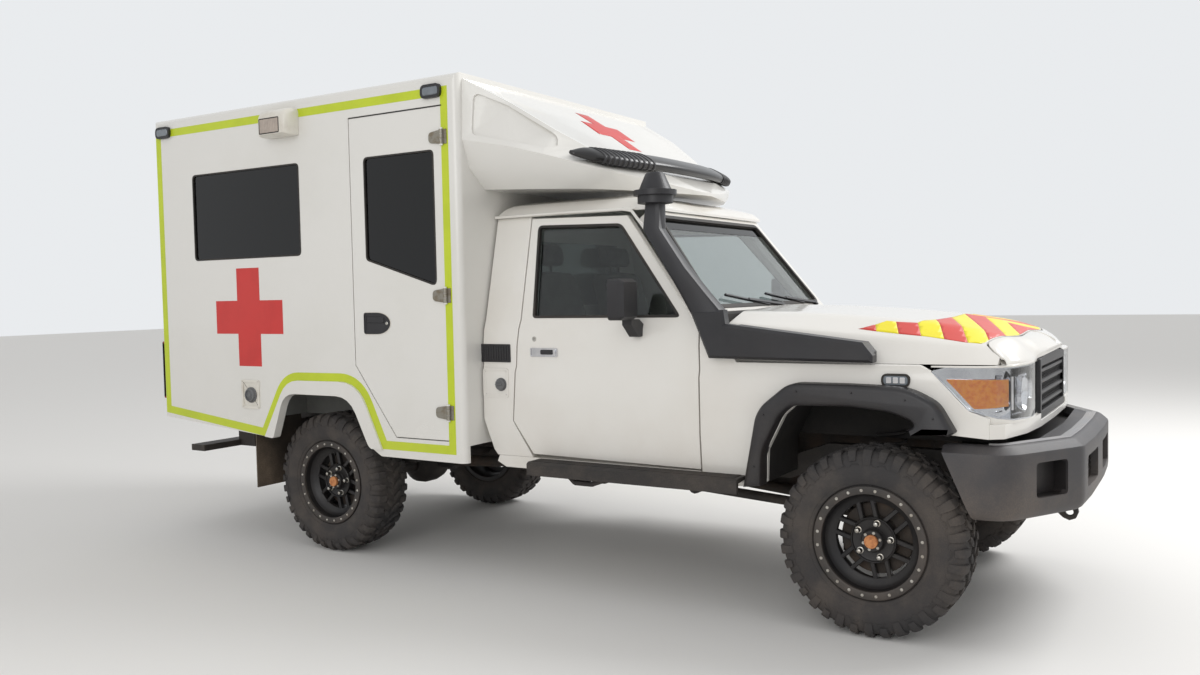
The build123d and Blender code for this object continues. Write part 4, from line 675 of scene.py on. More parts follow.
def top_markings():
    """The cross on the fairing, and the red and yellow chevrons on the bonnet."""
    shape = cross_outline(*FAIRING_CROSS_MIDDLE, FAIRING_CROSS_HALF, FAIRING_CROSS_ARM_HALF)
    cross, = laid_down(shape, surface_of("box_fairing"), ABOVE_BODY)
    thickened(piece("fairing_cross", cross, "chassis", "box_paint", "red_vinyl"))
    edges = [CHEVRON_FIRST + CHEVRON_PITCH * number for number in range(CHEVRON_COUNT)]
    cuts = [((x, 0, 0), (1, CHEVRON_SLOPE, 0)) for x in edges]

    def bar(place):
        return sum(place.x + place.y * CHEVRON_SLOPE > x for x in edges) % 2

    front = [(FRONT_AXLE_X + bonnet_edge(step * FRONT_EDGE_STEP) - CHEVRON_GAP, -step * FRONT_EDGE_STEP)
             for step in range(12, -1, -1)]
    fields = laid_down(BONNET_MARK + front, surface_of("bonnet_panel"), ABOVE_BODY, cuts, bar, CHEVRON_CELL)
    for field, colour in zip(fields, ("red", "yellow")):
        field.join(field.mirrored())
        thickened(piece(f"bonnet_chevrons_{colour}", field, "bonnet", "body_paint", f"chevron_{colour}"))


def thickened(sheet):
    """Gives a laid-down sticker its thickness."""
    skin = sheet.modifiers.new("sticker thickness", "SOLIDIFY")
    skin.thickness = STICKER * 0.8


# Smooth bodywork
class AmbulanceBodywork(PropertyGroup):
    crease_radius: FloatProperty(name="Bonnet edge radius", default=0.03, unit="LENGTH",
                                 description="Rounding along the bonnet's side crease")
    gutter_radius: FloatProperty(name="Gutter radius", default=0.008, unit="LENGTH",
                                 description="Half thickness of the cab roof's drip rail")


BONNET_LOW = 1.1505
BONNET_THICK = 0.016
BONNET_STEPS = 26
BONNET_COLUMNS = 84
BONNET_ROWS = [  # ahead of the front axle, side, crease (half width, z), shoulder (half width, z), crown z
    (-0.685, 0.79, 0.742, 1.318, 0.56, 1.372, 1.392), (-0.3, 0.788, 0.722, 1.285, 0.54, 1.358, 1.38),
    (0.1, 0.784, 0.69, 1.25, 0.52, 1.325, 1.35), (0.35, 0.772, 0.664, 1.226, 0.5, 1.286, 1.308),
    (0.52, 0.742, 0.628, 1.212, 0.45, 1.236, 1.25),
]
NOSE_ROWS = [  # half width, rear edge (ahead, z), front edge (ahead, z)
    (0.0, 0.502, 1.254, 0.622, 1.198), (0.3, 0.507, 1.245, 0.593, 1.18), (0.36, 0.497, 1.238, 0.58, 1.17),
    (0.4, 0.49, 1.232, 0.58, 1.152), (0.45, 0.477, 1.225, 0.58, 1.149), (0.584, 0.432, 1.216, 0.56, 1.149),
    (0.64, 0.442, 1.216, 0.535, 1.149), (0.7, 0.498, 1.152, 0.52, 1.146),
]
NOSE_GAP = 0.007
NOSE_STEPS = 44
GUTTER_PATH = [(-0.11, 0.717, 1.878), (0.3, 0.716, 1.881), (0.66, 0.712, 1.878), (0.71, 0.708, 1.868),
               (0.78, 0.724, 1.79), (1.02, 0.786, 1.482), (1.085, 0.812, 1.398)]
FLARE_EDGE = [(-0.548, 0.601), (-0.481, 0.948), (-0.328, 1.071), (-0.07, 1.071), (0.172, 1.066),
              (0.292, 1.004), (0.358, 0.889), (0.335, 0.874)]
FLARE_ROUNDING = [0, 0.16, 0.15, 0.5, 0.3, 0.12, 0.008, 0.01]
FLARE_INNER = [(0.225, 0.914), (0.113, 0.961), (-0.07, 0.978), (-0.319, 0.973), (-0.375, 0.925),
               (-0.457, 0.766), (-0.464, 0.613)]
FLARE_INNER_ROUNDING = [0.3, 0.3, 0.3, 0.08, 0.12, 0.2, 0]
FLARE_LEVELS = ((0.84, 0.0), (0.905, 0.0), (0.918, 0.004), (0.926, 0.011), (0.93, 0.024))
FLARE_BOLTS = [(-0.487, 0.7), (-0.44, 0.93), (-0.29, 1.036), (-0.05, 1.038), (0.17, 1.015), (0.28, 0.945)]
FLARE_BOLT_PROFILE = [(0.0, 0.004), (0.007, 0.003), (0.009, 0.0)]
ARCH_LINER = [(1.443, 0.615), (1.45, 0.77), (1.532, 0.93), (1.592, 0.982), (1.843, 0.988), (2.03, 0.972),
              (2.148, 0.925), (2.24, 0.888), (2.33, 0.862)]
ARCH_LINER_ENDS = [(2.33, 0.6), (1.5, 0.5)]  # inside the liner's curve, to give its outer side a direction
ARCH_LINER_THICK = 0.004
ARCH_LINER_REACH = (-0.816, -0.448)
SHOULDER_ROUNDING, CROWN_ROUNDING = 0.16, 0.5
BONNET_END = 0.48  # ahead of the front axle, where the columns of its front edge are counted
NOSE_THICK, NOSE_BULGE = 0.007, 0.007
NOSE_FORWARD, NOSE_DROOP = 0.4, 1.25  # share of the bulge, power of the fall
NOSE_RINGS = 8


def smoothed(rows, place):
    """Rows of numbers that start with their place, read at another place along a smooth curve."""
    number = max(1, min(len(rows) - 1, sum(place >= row[0] for row in rows)))
    before, after = rows[number - 1], rows[number]
    span = after[0] - before[0]
    t = (place - before[0]) / span

    def slope(index):
        if rows[index][0] == 0:  # rows that start at the middle are the same on both sides of it
            return [0.0] * len(rows[index])
        low, high = rows[max(index - 1, 0)], rows[min(index + 1, len(rows) - 1)]
        return [(b - a) / (high[0] - low[0]) for a, b in zip(low, high)]
    values = []
    for a, b, start, end in zip(before, after, slope(number - 1), slope(number)):
        values.append((2 * t ** 3 - 3 * t ** 2 + 1) * a + (t ** 3 - 2 * t ** 2 + t) * span * start
                      + (3 * t ** 2 - 2 * t ** 3) * b + (t ** 3 - t ** 2) * span * end)
    return values[1:]


def bonnet_section(ahead, crease_radius):
    side, crease, crease_z, shoulder, shoulder_z, crown = smoothed(BONNET_ROWS, ahead)
    half = [(-side, BONNET_LOW), (-crease, crease_z), (-shoulder, shoulder_z)]
    corners = half + [(0.0, crown)] + [(-y, z) for y, z in reversed(half)]
    radii = [0, crease_radius, SHOULDER_ROUNDING, CROWN_ROUNDING, SHOULDER_ROUNDING, crease_radius, 0]
    return evenly(rounded(corners, radii, 8), BONNET_COLUMNS)


def evenly(line, count):
    """An open line's points, spaced evenly along it."""
    reached = [0.0]
    for start, end in zip(line, line[1:]):
        reached.append(reached[-1] + (Vector(end) - Vector(start)).length)
    points = []
    number = 1
    for step in range(count + 1):
        aim = reached[-1] * step / count
        while reached[number] < aim and number < len(line) - 1:
            number += 1
        share = (aim - reached[number - 1]) / (reached[number] - reached[number - 1])
        points.append(tuple(Vector(line[number - 1]).lerp(Vector(line[number]), share)))
    return points


def height_on(section, width):
    """The height of a section's upper side at a distance from the middle."""
    rising = [(-y, z) for y, z in section if y <= 0][::-1]
    for (near, high), (far, low) in zip(rising, rising[1:]):
        if near <= width <= far:
            return between(high, low, (width - near) / (far - near))
    return rising[-1][1]


def bonnet_edge(half_width):
    """How far ahead the bonnet reaches at a distance from its middle."""
    if half_width > NOSE_ROWS[-1][0]:
        return NOSE_ROWS[-1][1] - NOSE_GAP
    return smoothed(NOSE_ROWS, half_width)[0] - NOSE_GAP


def make_bonnet(settings):
    front = bonnet_section(BONNET_END, settings.crease_radius)
    ends = [bonnet_edge(abs(y)) for y, _ in front]
    start = BONNET_ROWS[0][0]
    rings = []
    for step in range(BONNET_STEPS + 1):
        outer, inner = [], []
        for column, end in enumerate(ends):
            ahead = between(start, end, step / BONNET_STEPS)
            y, z = bonnet_section(ahead, settings.crease_radius)[column]
            outer.append((FRONT_AXLE_X + ahead, y, z))
            low = z - BONNET_THICK if z > BONNET_LOW + 0.002 else z
            inner.append((FRONT_AXLE_X + ahead, y * (1 - BONNET_THICK), low))
        rings.append(outer + inner[::-1])
    piece("bonnet_panel", Form().loft(rings), "bonnet", "body_paint", "cab_paint", 40, ["bonnet"])


def make_nose(settings):
    """The painted panel between the bonnet's front seam, the grille and the headlamps."""
    top = NOSE_ROWS[-1][0]
    rings = []
    for step in range(-NOSE_STEPS, NOSE_STEPS + 1):
        side = step / NOSE_STEPS * top
        rear, _, front, front_z = smoothed(NOSE_ROWS, abs(side))
        rear_z = height_on(bonnet_section(rear, settings.crease_radius), abs(side))
        line = []
        for number in range(NOSE_RINGS + 1):
            share = number / NOSE_RINGS
            bulge = NOSE_BULGE * sin(pi * share)
            line.append((FRONT_AXLE_X + between(rear, front, share) + bulge * NOSE_FORWARD, side,
                         between(rear_z, front_z, share ** NOSE_DROOP) + bulge))
        rings.append(line + [(x - 0.001, y, z - NOSE_THICK) for x, y, z in reversed(line)])
    piece("nose_panel", Form().loft(rings), "chassis", "body_paint", "cab_paint", 50)


def make_gutter(settings):
    """The drip rail along the cab roof and down each windscreen pillar."""
    path = [(x, -y, z) for x, y, z in GUTTER_PATH]
    rail = Form().tube(path, [settings.gutter_radius] * (len(path) - 1) + [settings.gutter_radius * 0.6], 10)
    both_sides("roof_gutter", rail, "chassis", "body_paint", "cab_paint", 50)


def make_flares(settings):
    """The black wheel arch flares over the front wheels, with a rolled edge and their bolts."""
    edge = rounded(FLARE_EDGE, FLARE_ROUNDING, 10)
    inner = rounded(FLARE_INNER, FLARE_INNER_ROUNDING, 10)
    shape = [(FRONT_AXLE_X + d, z) for d, z in edge + inner]
    rings = [[(x, -y, z) for x, z in offset(shape, -inset)] for y, inset in FLARE_LEVELS]
    flare = Form().loft(rings)
    for d, z in FLARE_BOLTS:
        place = at((FRONT_AXLE_X + d, -FLARE_LEVELS[-1][0] + 0.001, z), (0, -1, 0))
        flare.lathe(FLARE_BOLT_PROFILE, 16, place)
    both_sides("arch_flare", flare, "chassis", "black_plastic", "black_plastic", 40, ["arch_flares"])


def make_arch_liner(settings):
    # A dark liner sheet over each front arch's inside: underseal, and partly painted shade over its cream
    # inner wing.
    outer = offset(ARCH_LINER + ARCH_LINER_ENDS, ARCH_LINER_THICK)[:len(ARCH_LINER)]
    shape = outer + ARCH_LINER[::-1]
    liner = Form().prism(shape, lambda u, v, depth: (u, depth, v), *ARCH_LINER_REACH)
    both_sides("arch_liner", liner, "chassis", "black_plastic", "underseal")


# Wheels
class AmbulanceWheels(PropertyGroup):
    lug_count: IntProperty(name="Tread lugs", description="Shoulder lugs round each tyre", default=36, min=12)
    ring_bolts: IntProperty(name="Ring bolts", description="Bolts in the outer ring of each rim", default=24,
                            min=6)
    spoke_pairs: IntProperty(name="Spoke pairs", description="Pairs of spokes in each rim", default=6, min=3)
    spoke_width: FloatProperty(name="Spoke width", description="Width of one spoke", default=0.02,
                               unit="LENGTH")


WHEEL_PLACES = {"front": (FRONT_AXLE_X, 0.7575), "rear": (-1.267, 0.7325)}
AXLE_Z = 0.402
TYRE_HALF_SECTION = [  # outward from the wheel's middle plane, radius: bead to crown
    (0.094, 0.2255), (0.1005, 0.2275), (0.1005, 0.2445), (0.110, 0.2485), (0.1165, 0.2575), (0.1185, 0.2630),
    (0.1205, 0.2635), (0.1265, 0.275), (0.1305, 0.293), (0.1315, 0.310), (0.1305, 0.326), (0.128, 0.342),
    (0.1225, 0.360), (0.115, 0.374), (0.104, 0.3835), (0.088, 0.388), (0.045, 0.3895), (0.0, 0.39),
]
TYRE_TURNS = 96
LONG_LUG = [  # outward, inner radius, outer radius, half angle, shift round the tyre
    (0.060, 0.385, 0.4018, 0.046, 0.0), (0.092, 0.380, 0.4005, 0.05, 0.0), (0.113, 0.366, 0.3945, 0.051, 0.0),
    (0.126, 0.348, 0.380, 0.05, 0.0), (0.1322, 0.338, 0.362, 0.046, 0.0), (0.132, 0.333, 0.3445, 0.036, 0.0),
]
SHORT_LUG = [
    (0.072, 0.385, 0.4015, 0.04, 0.0), (0.096, 0.380, 0.4, 0.046, 0.0), (0.115, 0.366, 0.3925, 0.046, 0.0),
    (0.126, 0.355, 0.3785, 0.044, 0.0), (0.131, 0.352, 0.364, 0.036, 0.0),
]
CROWN_LUG = [
    (0.005, 0.384, 0.402, 0.03, -0.045), (0.026, 0.384, 0.402, 0.042, -0.008),
    (0.034, 0.384, 0.402, 0.044, 0.008), (0.051, 0.384, 0.4018, 0.03, 0.04),
]
RIDGE_ZIGZAG = [(0.3385, -0.3), (0.3385, 0.15), (0.3265, 0.3), (0.3265, 0.55)]  # radius, share of the pitch
RIDGE_OUT, RIDGE_RADIUS = 0.1298, 0.0019
LUG_CHAMFER = 0.22  # share of its half angle
LUG_EDGE = 0.0035
BARREL_SECTION = [
    (0.1015, 0.2215), (0.1015, 0.2065), (0.085, 0.2035), (0.050, 0.1975), (0.020, 0.1955), (-0.060, 0.1955),
    (-0.098, 0.206), (-0.112, 0.2125), (-0.1125, 0.236), (-0.1085, 0.236), (-0.106, 0.2235), (-0.09, 0.2215),
    (-0.07, 0.2065), (0.03, 0.2055), (0.075, 0.2065), (0.088, 0.2215),
]
RING_SECTION = [
    (0.1030, 0.2405), (0.1125, 0.2415), (0.1160, 0.2385), (0.1165, 0.2365), (0.1165, 0.2110),
    (0.1150, 0.2075), (0.1030, 0.2060),
]
DISH_SECTION = [
    (0.0185, 0.163), (0.0415, 0.164), (0.0465, 0.17), (0.054, 0.186), (0.066, 0.1965), (0.080, 0.2045),
    (0.060, 0.2045), (0.0185, 0.2),
]
HUB_PROFILE = [
    (0.0185, 0.098), (0.046, 0.098), (0.0545, 0.0975), (0.0565, 0.0945), (0.0545, 0.0915), (0.048, 0.0885),
    (0.0465, 0.084),
]
CAP_PROFILE = [(0.0465, 0.052), (0.052, 0.0515), (0.054, 0.0495), (0.068, 0.0485), (0.073, 0.046),
               (0.0755, 0.0425)]
CAP_CENTRE_PROFILE = [(0.0755, 0.0285), (0.0885, 0.0285), (0.0905, 0.0265), (0.0905, 0.023), (0.0885, 0.0205)]
NUT_PROFILE = [(0.0462, 0.0145), (0.0505, 0.0145), (0.0515, 0.0112), (0.068, 0.0112), (0.074, 0.0088),
               (0.0765, 0.004)]
RING_BOLT = (0.1165, 0.0048, 0.0042, 0.0066)  # depth, radius, height, washer radius
CAP_BOLT = (0.0755, 0.0052, 0.005, 0.0066)
SPOKE_REACH = (0.088, 0.171)
SPOKE_FACE = 0.0445
SPOKE_BACK = 0.02
SPOKE_OFFSET = 0.031
SPOKE_START = radians(43)
RING_BOLT_RADIUS = 0.2235
NUT_CIRCLE_RADIUS = 0.0745
NUT_ANGLES = [radians(angle) for angle in (6, 77, 149, 221, 293)]
CAP_BOLTS, CAP_BOLT_RADIUS, CAP_BOLT_START = 6, 0.0365, radians(15)
BRAKE_DISC_PROFILE = [(-0.03, 0.154), (-0.006, 0.154), (-0.004, 0.152), (-0.004, 0.1), (0.012, 0.096)]


def turned(u, v, angle):
    return (u * cos(angle) - v * sin(angle), u * sin(angle) + v * cos(angle))


def wheel_lug(form, rows, angle, place, inward=1):
    """One tread lug: sections from the middle of the tyre out over its shoulder."""
    rings = []
    for out, inner, outer, half, shift in rows:
        middle = angle + shift
        chamfer = half * LUG_CHAMFER
        corners = [(inner, -half), (outer - LUG_EDGE, -half), (outer, -half + chamfer),
                   (outer, half - chamfer), (outer - LUG_EDGE, half), (inner, half)]
        rings.append([place(radius * cos(middle + turn), radius * sin(middle + turn), out * inward)
                      for radius, turn in corners])
    form.loft(rings)


def tyre_form(place, lugs):
    section = TYRE_HALF_SECTION + [(-out, radius) for out, radius in reversed(TYRE_HALF_SECTION[:-1])]
    form = Form().hoop(section, TYRE_TURNS, place)
    pitch = 2 * pi / lugs
    for number in range(lugs):
        angle = number * pitch
        wheel_lug(form, LONG_LUG if number % 2 else SHORT_LUG, angle, place)
        wheel_lug(form, SHORT_LUG if number % 2 else LONG_LUG, angle + pitch / 2, place, -1)
        wheel_lug(form, CROWN_LUG, angle + pitch / 2, place)
        wheel_lug(form, CROWN_LUG, angle, place, -1)
    for side in (1, -1):
        ridge = [place(radius * cos((number + share) * pitch), radius * sin((number + share) * pitch),
                       side * RIDGE_OUT)
                 for number in range(lugs) for radius, share in RIDGE_ZIGZAG]
        form.tube(ridge, RIDGE_RADIUS, 5, closed=True)
    return form


def hex_bolt(form, place, u, v, depth, radius, height, washer):
    """A hexagon head on its washer, standing along a place function's depth."""
    def shifted(a, b, along):
        return place(u + a, v + b, along)
    base = [(depth - 0.001, washer), (depth + height * 0.25, washer), (depth + height * 0.28, radius)]
    form.lathe(base, 12, shifted)
    form.lathe([(depth, radius), (depth + height * 0.85, radius), (depth + height, radius * 0.8)], 6, shifted)


def rim_forms(place, settings):
    """The rim's own metal, its bolt ring, its bright bolts and nuts, and its rusty centre."""
    rim = Form().hoop(BARREL_SECTION, TYRE_TURNS, place).hoop(DISH_SECTION, 72, place)
    rim.lathe(HUB_PROFILE, 72, place).lathe(CAP_PROFILE, 48, place)
    for pair in range(settings.spoke_pairs):
        angle = SPOKE_START + 2 * pi * pair / settings.spoke_pairs
        for shift in (-SPOKE_OFFSET, SPOKE_OFFSET):
            half = settings.spoke_width / 2
            shape = [turned(u, v, angle) for u, v in rectangle(*SPOKE_REACH, shift - half, shift + half)]
            rim.prism(shape, place, SPOKE_BACK, SPOKE_FACE, 0.003)
    ring = Form().hoop(RING_SECTION, TYRE_TURNS, place)
    bolts = Form()
    for number in range(settings.ring_bolts):
        u, v = turned(RING_BOLT_RADIUS, 0, 2 * pi * (number + 0.5) / settings.ring_bolts)
        hex_bolt(bolts, place, u, v, *RING_BOLT)
    for angle in NUT_ANGLES:
        u, v = turned(NUT_CIRCLE_RADIUS, 0, angle)

        def nut_place(a, b, along, u=u, v=v):
            return place(u + a, v + b, along)
        bolts.lathe(NUT_PROFILE, 12, nut_place)
    for number in range(CAP_BOLTS):
        u, v = turned(CAP_BOLT_RADIUS, 0, CAP_BOLT_START + number * pi / 3)
        hex_bolt(bolts, place, u, v, *CAP_BOLT)
    centre = Form().lathe(CAP_CENTRE_PROFILE, 40, place)
    disc = Form().lathe(BRAKE_DISC_PROFILE, 56, place)
    return rim, ring, bolts, centre, disc


def make_wheels(settings):
    for axle, (x, y) in WHEEL_PLACES.items():
        place = at((x, -y, AXLE_Z), (0, -1, 0))
        body = f"wheel_{axle}_" + "{side}"
        both_sides(f"tyre_tread_{axle}", tyre_form(place, settings.lug_count), body, "tyre", "tyre", 28,
                   [f"tyre_{axle}_" + "{side}"])
        rim, ring, bolts, centre, disc = rim_forms(place, settings)
        both_sides(f"rim_spokes_{axle}", rim, body, "rim_black", "rim_black", 30, [f"rim_{axle}_" + "{side}"])
        both_sides(f"rim_ring_{axle}", ring, body, "rim_black", "rim_ring")
        for name, form, finish in (("rim_bolts", bolts, "bright_steel"), ("hub_centre", centre, "rusty_cap"),
                                   ("brake_disc", disc, "cast_metal")):
            both_sides(f"{name}_{axle}", form, body, "cast_metal", finish)


# Lamps and grille
class AmbulanceLamps(PropertyGroup):
    lens_thickness: FloatProperty(name="Lens thickness", description="Thickness of the clear headlamp lens",
                                  default=0.003, min=0.001, unit="LENGTH")
    wing_lamp_length: FloatProperty(name="Wing lamp length", default=0.118, unit="LENGTH",
                                    description="Length of the marker lamp on each wing")


LAMP_TOP = 1.144
CHEEK_TOP = 0.9195
HEADLAMP_ROWS = [  # outer x, outer distance from the middle, low z, high z, inner x, inner distance
    (2.166, 0.842, 1.125, 1.129, 2.172, 0.834), (2.223, 0.842, 1.068, LAMP_TOP, 2.224, 0.822),
    (2.27, 0.842, 1.0195, LAMP_TOP, 2.27, 0.817), (2.313, 0.842, 0.9735, LAMP_TOP, 2.313, 0.812),
    (2.333, 0.842, 0.9665, LAMP_TOP, 2.332, 0.81), (2.373, 0.827, 0.9525, LAMP_TOP, 2.365, 0.8),
    (2.413, 0.812, 0.9415, LAMP_TOP, 2.398, 0.776), (2.439, 0.776, 0.9355, LAMP_TOP, 2.412, 0.74),
    (2.465, 0.74, 0.93, LAMP_TOP, 2.42, 0.7), (2.48, 0.67, 0.927, LAMP_TOP, 2.425, 0.65),
    (2.495, 0.6, 0.9235, LAMP_TOP, 2.428, 0.6), (2.497, 0.54, 0.923, LAMP_TOP, 2.428, 0.54),
    (2.499, 0.48, 0.9225, LAMP_TOP, 2.428, 0.48), (2.4935, 0.364, 0.9235, LAMP_TOP, 2.424, 0.374),
]
AMBER_ROWS = [  # x, distance from the middle, low z, high z
    (2.2255, 0.834, 1.09, 1.096), (2.265, 0.834, 1.05, 1.0965), (2.3, 0.834, 1.011, 1.0965),
    (2.33, 0.834, 0.98, 1.0965), (2.37, 0.821, 0.981, 1.096), (2.405, 0.806, 0.984, 1.0955),
    (2.428, 0.779, 0.986, 1.095), (2.446, 0.754, 0.987, 1.095),
]
REFLECTOR_SECTION = [(0.0, 0.01), (0.010, 0.045), (0.024, 0.068), (0.042, 0.08), (0.042, 0.083),
                     (0.022, 0.071), (0.008, 0.048), (-0.003, 0.01)]
REFLECTORS = ((-0.575, 1.0), (-0.43, 0.62))  # place across, size
REFLECTOR_X, REFLECTOR_Z = 2.434, 1.03
BULB_PROFILE = [(-0.002, 0.012), (0.022, 0.011), (0.03, 0.009), (0.034, 0.005)]
LAMP_BAR_PATH = ((2.458, -0.741), (2.4655, -0.71), (2.476, -0.66))
LAMP_BAR_HEIGHTS = [0.955 + number * 0.036 for number in range(5)]
LAMP_PARTITION = rectangle(0.972, 1.106, 0.0, 0.012)
LENS_MARGIN = 0.0004
BUCKET_WALL, BUCKET_LIP, BUCKET_FLOOR = 0.006, 0.0034, 0.004
AMBER_DEPTH = (-0.003, 0.009)
FIRST_CHEEK_ROW = 5


def headlamp_sections():
    """Each row of the lamp: its face and its back seen from above, the way in, and its low and high edge."""
    for x, y, low, high, deep_x, deep_y in HEADLAMP_ROWS:
        face, back = Vector((x, -y)), Vector((deep_x, -deep_y))
        yield face, back, (back - face).normalized(), low, high


def upright(corners):
    """A ring from corners seen from above and their heights."""
    return [(point.x, point.y, z) for point, z in corners]


def headlamp_lens(thickness):
    """The clear lens, which follows the lamp's face."""
    rings = []
    for face, back, inward, low, high in headlamp_sections():
        inset = min(LENS_MARGIN, (high - low) * 0.3)
        inner = face + inward * min(thickness, (back - face).length)
        rings.append(upright([(face, low + inset), (inner, low + inset), (inner, high - inset),
                              (face, high - inset)]))
    return Form().loft(rings)


def headlamp_bucket():
    """The bright bucket behind the lens, open to the front."""
    rings = []
    for face, back, inward, low, high in headlamp_sections():
        wall = min(BUCKET_WALL, (high - low) * 0.3)
        lip, floor = face + inward * BUCKET_LIP, back - inward * BUCKET_FLOOR
        rings.append(upright([(lip, low), (back, low), (back, high), (lip, high), (lip, high - wall),
                              (floor, high - wall), (floor, low + wall), (lip, low + wall)]))
    return Form().loft(rings)


def make_lamp_trims():
    """The painted strips above and below the lamp that close it against the bonnet and the front strip."""
    over, under = [], []
    for face, back, _, low, _ in headlamp_sections():
        for rings, bottom, top in ((over, LAMP_TOP - 0.0005, BONNET_LOW - 0.001),
                                   (under, CHEEK_TOP, low + 0.001)):
            rings.append(upright([(face, bottom), (back, bottom), (back, top), (face, top)]))
    trim = Form().loft(over).loft(under[FIRST_CHEEK_ROW:])
    both_sides("lamp_trims", trim, "chassis", "body_paint", "cab_paint", 40)


def make_headlamps(settings):
    make_lamp_trims()
    both_sides("headlamp_bucket", headlamp_bucket(), "chassis", "clear_lens", "chrome", 30, ["headlamps"])
    both_sides("headlamp_lens", headlamp_lens(settings.lens_thickness), "chassis", "clear_lens", crease=30)
    back, inward = AMBER_DEPTH
    amber = Form().loft([[(x, -y, low), (x + back, -y + inward, low), (x + back, -y + inward, high),
                          (x, -y, high)] for x, y, low, high in AMBER_ROWS])
    both_sides("turn_lamp", amber, "chassis", "clear_lens", "amber_lens", 30)
    inside = Form()
    for y, size in REFLECTORS:
        place = at((REFLECTOR_X, y, REFLECTOR_Z), (1, 0, 0))
        inside.hoop([(along, radius * size) for along, radius in REFLECTOR_SECTION], 40, place)
        inside.lathe(BULB_PROFILE, 20, place)
    for z in LAMP_BAR_HEIGHTS:
        inside.tube([(x, y, z) for x, y in LAMP_BAR_PATH], 0.003, 8)
    inside.prism(LAMP_PARTITION, lambda z, ahead, out: (2.452 + ahead, -out, z), 0.7, 0.752)
    both_sides("headlamp_reflectors", inside, "chassis", "clear_lens", "chrome", 30)


WING_LAMP_MIDDLE = (2.026, 1.0875)
WING_LAMP_HALF_HEIGHT = 0.0275
WING_LAMP_CELLS = (-0.028, 0.0, 0.028)
WING_LAMP_CELL_HALF = (0.011, 0.013)


def make_wing_lamps(settings):
    """The oval marker lamps above the front wheels."""
    u, v = WING_LAMP_MIDDLE
    wing = standing(on_right, side_reach(surface_of("front_wings"), u, v))
    outline = rounded(box_about(u, v, settings.wing_lamp_length / 2, WING_LAMP_HALF_HEIGHT),
                      WING_LAMP_HALF_HEIGHT, 10)
    both_sides("wing_lamp_rim", Form().band(outline, 0, -0.008, wing, -0.004, 0.009), "chassis", "rubber")
    lens = Form().prism(offset(outline, -0.007), wing, -0.003, 0.0085, 0.003)
    both_sides("wing_lamp_lens", lens, "chassis", "clear_lens", "grey_lens")
    cells = Form()
    for shift in WING_LAMP_CELLS:
        cell = rounded(box_about(u + shift, v, *WING_LAMP_CELL_HALF), 0.004, 4)
        cells.prism(cell, wing, 0.007, 0.0105, 0.0015)
    both_sides("wing_lamp_cells", cells, "chassis", "clear_lens", "chrome")


# Cab fittings
class AmbulanceCab(PropertyGroup):
    handle_length: FloatProperty(name="Door handle length", default=0.165, unit="LENGTH",
                                 description="Length of the cab doors' pull handles")
    louvre_slats: IntProperty(name="Louvre slats", description="Slats in the vent behind each cab door",
                              default=11, min=3)
    rubber_width: FloatProperty(name="Window rubber width", description="Visible width of the window rubbers",
                                default=0.011, unit="LENGTH")


DOOR_HANDLE_START = (0.188, 1.158)
DOOR_HANDLE_HEIGHT = 0.044
DOOR_LOCK = (0.209, 1.246)
DOOR_LOCK_PROFILE = [(-0.003, 0.0125), (0.0015, 0.0125), (0.003, 0.011), (0.003, 0.0085), (0.0022, 0.008)]
DOOR_LOCK_SLOT_HALF = (0.0012, 0.005)
LOUVRE = rectangle(-0.128, 0.062, 1.126, 1.219)
LOUVRE_PLACE, FILLER_PLACE = (-0.03, 1.17), (-0.03, 1.03)  # where the panel's depth is taken
SLAT_HALF = 0.0035
FUEL_FLAP = rectangle(-0.112, 0.051, 0.943, 1.095)
FUEL_CAP = (0.003, 1.012)
FUEL_CAP_PROFILE = [(-0.003, 0.034), (0.003, 0.034), (0.0045, 0.0325), (0.0045, 0.03), (0.014, 0.0285),
                    (0.0165, 0.026), (0.0165, 0.019), (0.0145, 0.017)]
FUEL_CAP_GRIPS, FUEL_CAP_GRIP_RADIUS = 14, 0.0295
DOOR_WINDOW = [(0.187, 1.352), (0.157, 1.822), (0.651, 1.808), (1.023, 1.352)]
DOOR_WINDOW_RADII = [0.02, 0.026, 0.06, 0.012]
WINDOW_PLANE_Z, WINDOW_PLANE_Y, WINDOW_PLANE_SLOPE = 1.345, 0.82, 0.2407
SCREEN_FOOT, SCREEN_HEAD = (1.162, 1.372), (0.78, 1.8715)
SCREEN_OPENING = [(-0.692, 0.03), (-0.602, 0.5888), (0.602, 0.5888), (0.692, 0.03)]
SCREEN_CORNER = 0.034
SCREEN_BAND_DEPTH, SCREEN_BAND_HALF, SCREEN_BAND_FLARE = 0.062, 0.6, 0.16
MIRROR_FACE = rectangle(-1.05, -0.915, 1.354, 1.525)
MIRROR_GLASS_X = 0.7795


def on_door_window(u, v, depth):
    """A point on the cab door's window frame, which leans in towards the roof."""
    lean = atan2(WINDOW_PLANE_SLOPE, 1)
    y = WINDOW_PLANE_Y - (v - WINDOW_PLANE_Z) * WINDOW_PLANE_SLOPE
    return (u, -y - depth * cos(lean), v + depth * sin(lean))


def on_screen(u, v, depth):
    """A point on the windscreen: u across, v up the glass, depth outward."""
    (x1, z1), (x2, z2) = SCREEN_FOOT, SCREEN_HEAD
    up = Vector((x2 - x1, 0, z2 - z1)).normalized()
    out = Vector((up.z, 0, -up.x))
    return Vector((x1, 0, z1)) + Vector((0, u, 0)) + up * v + out * depth


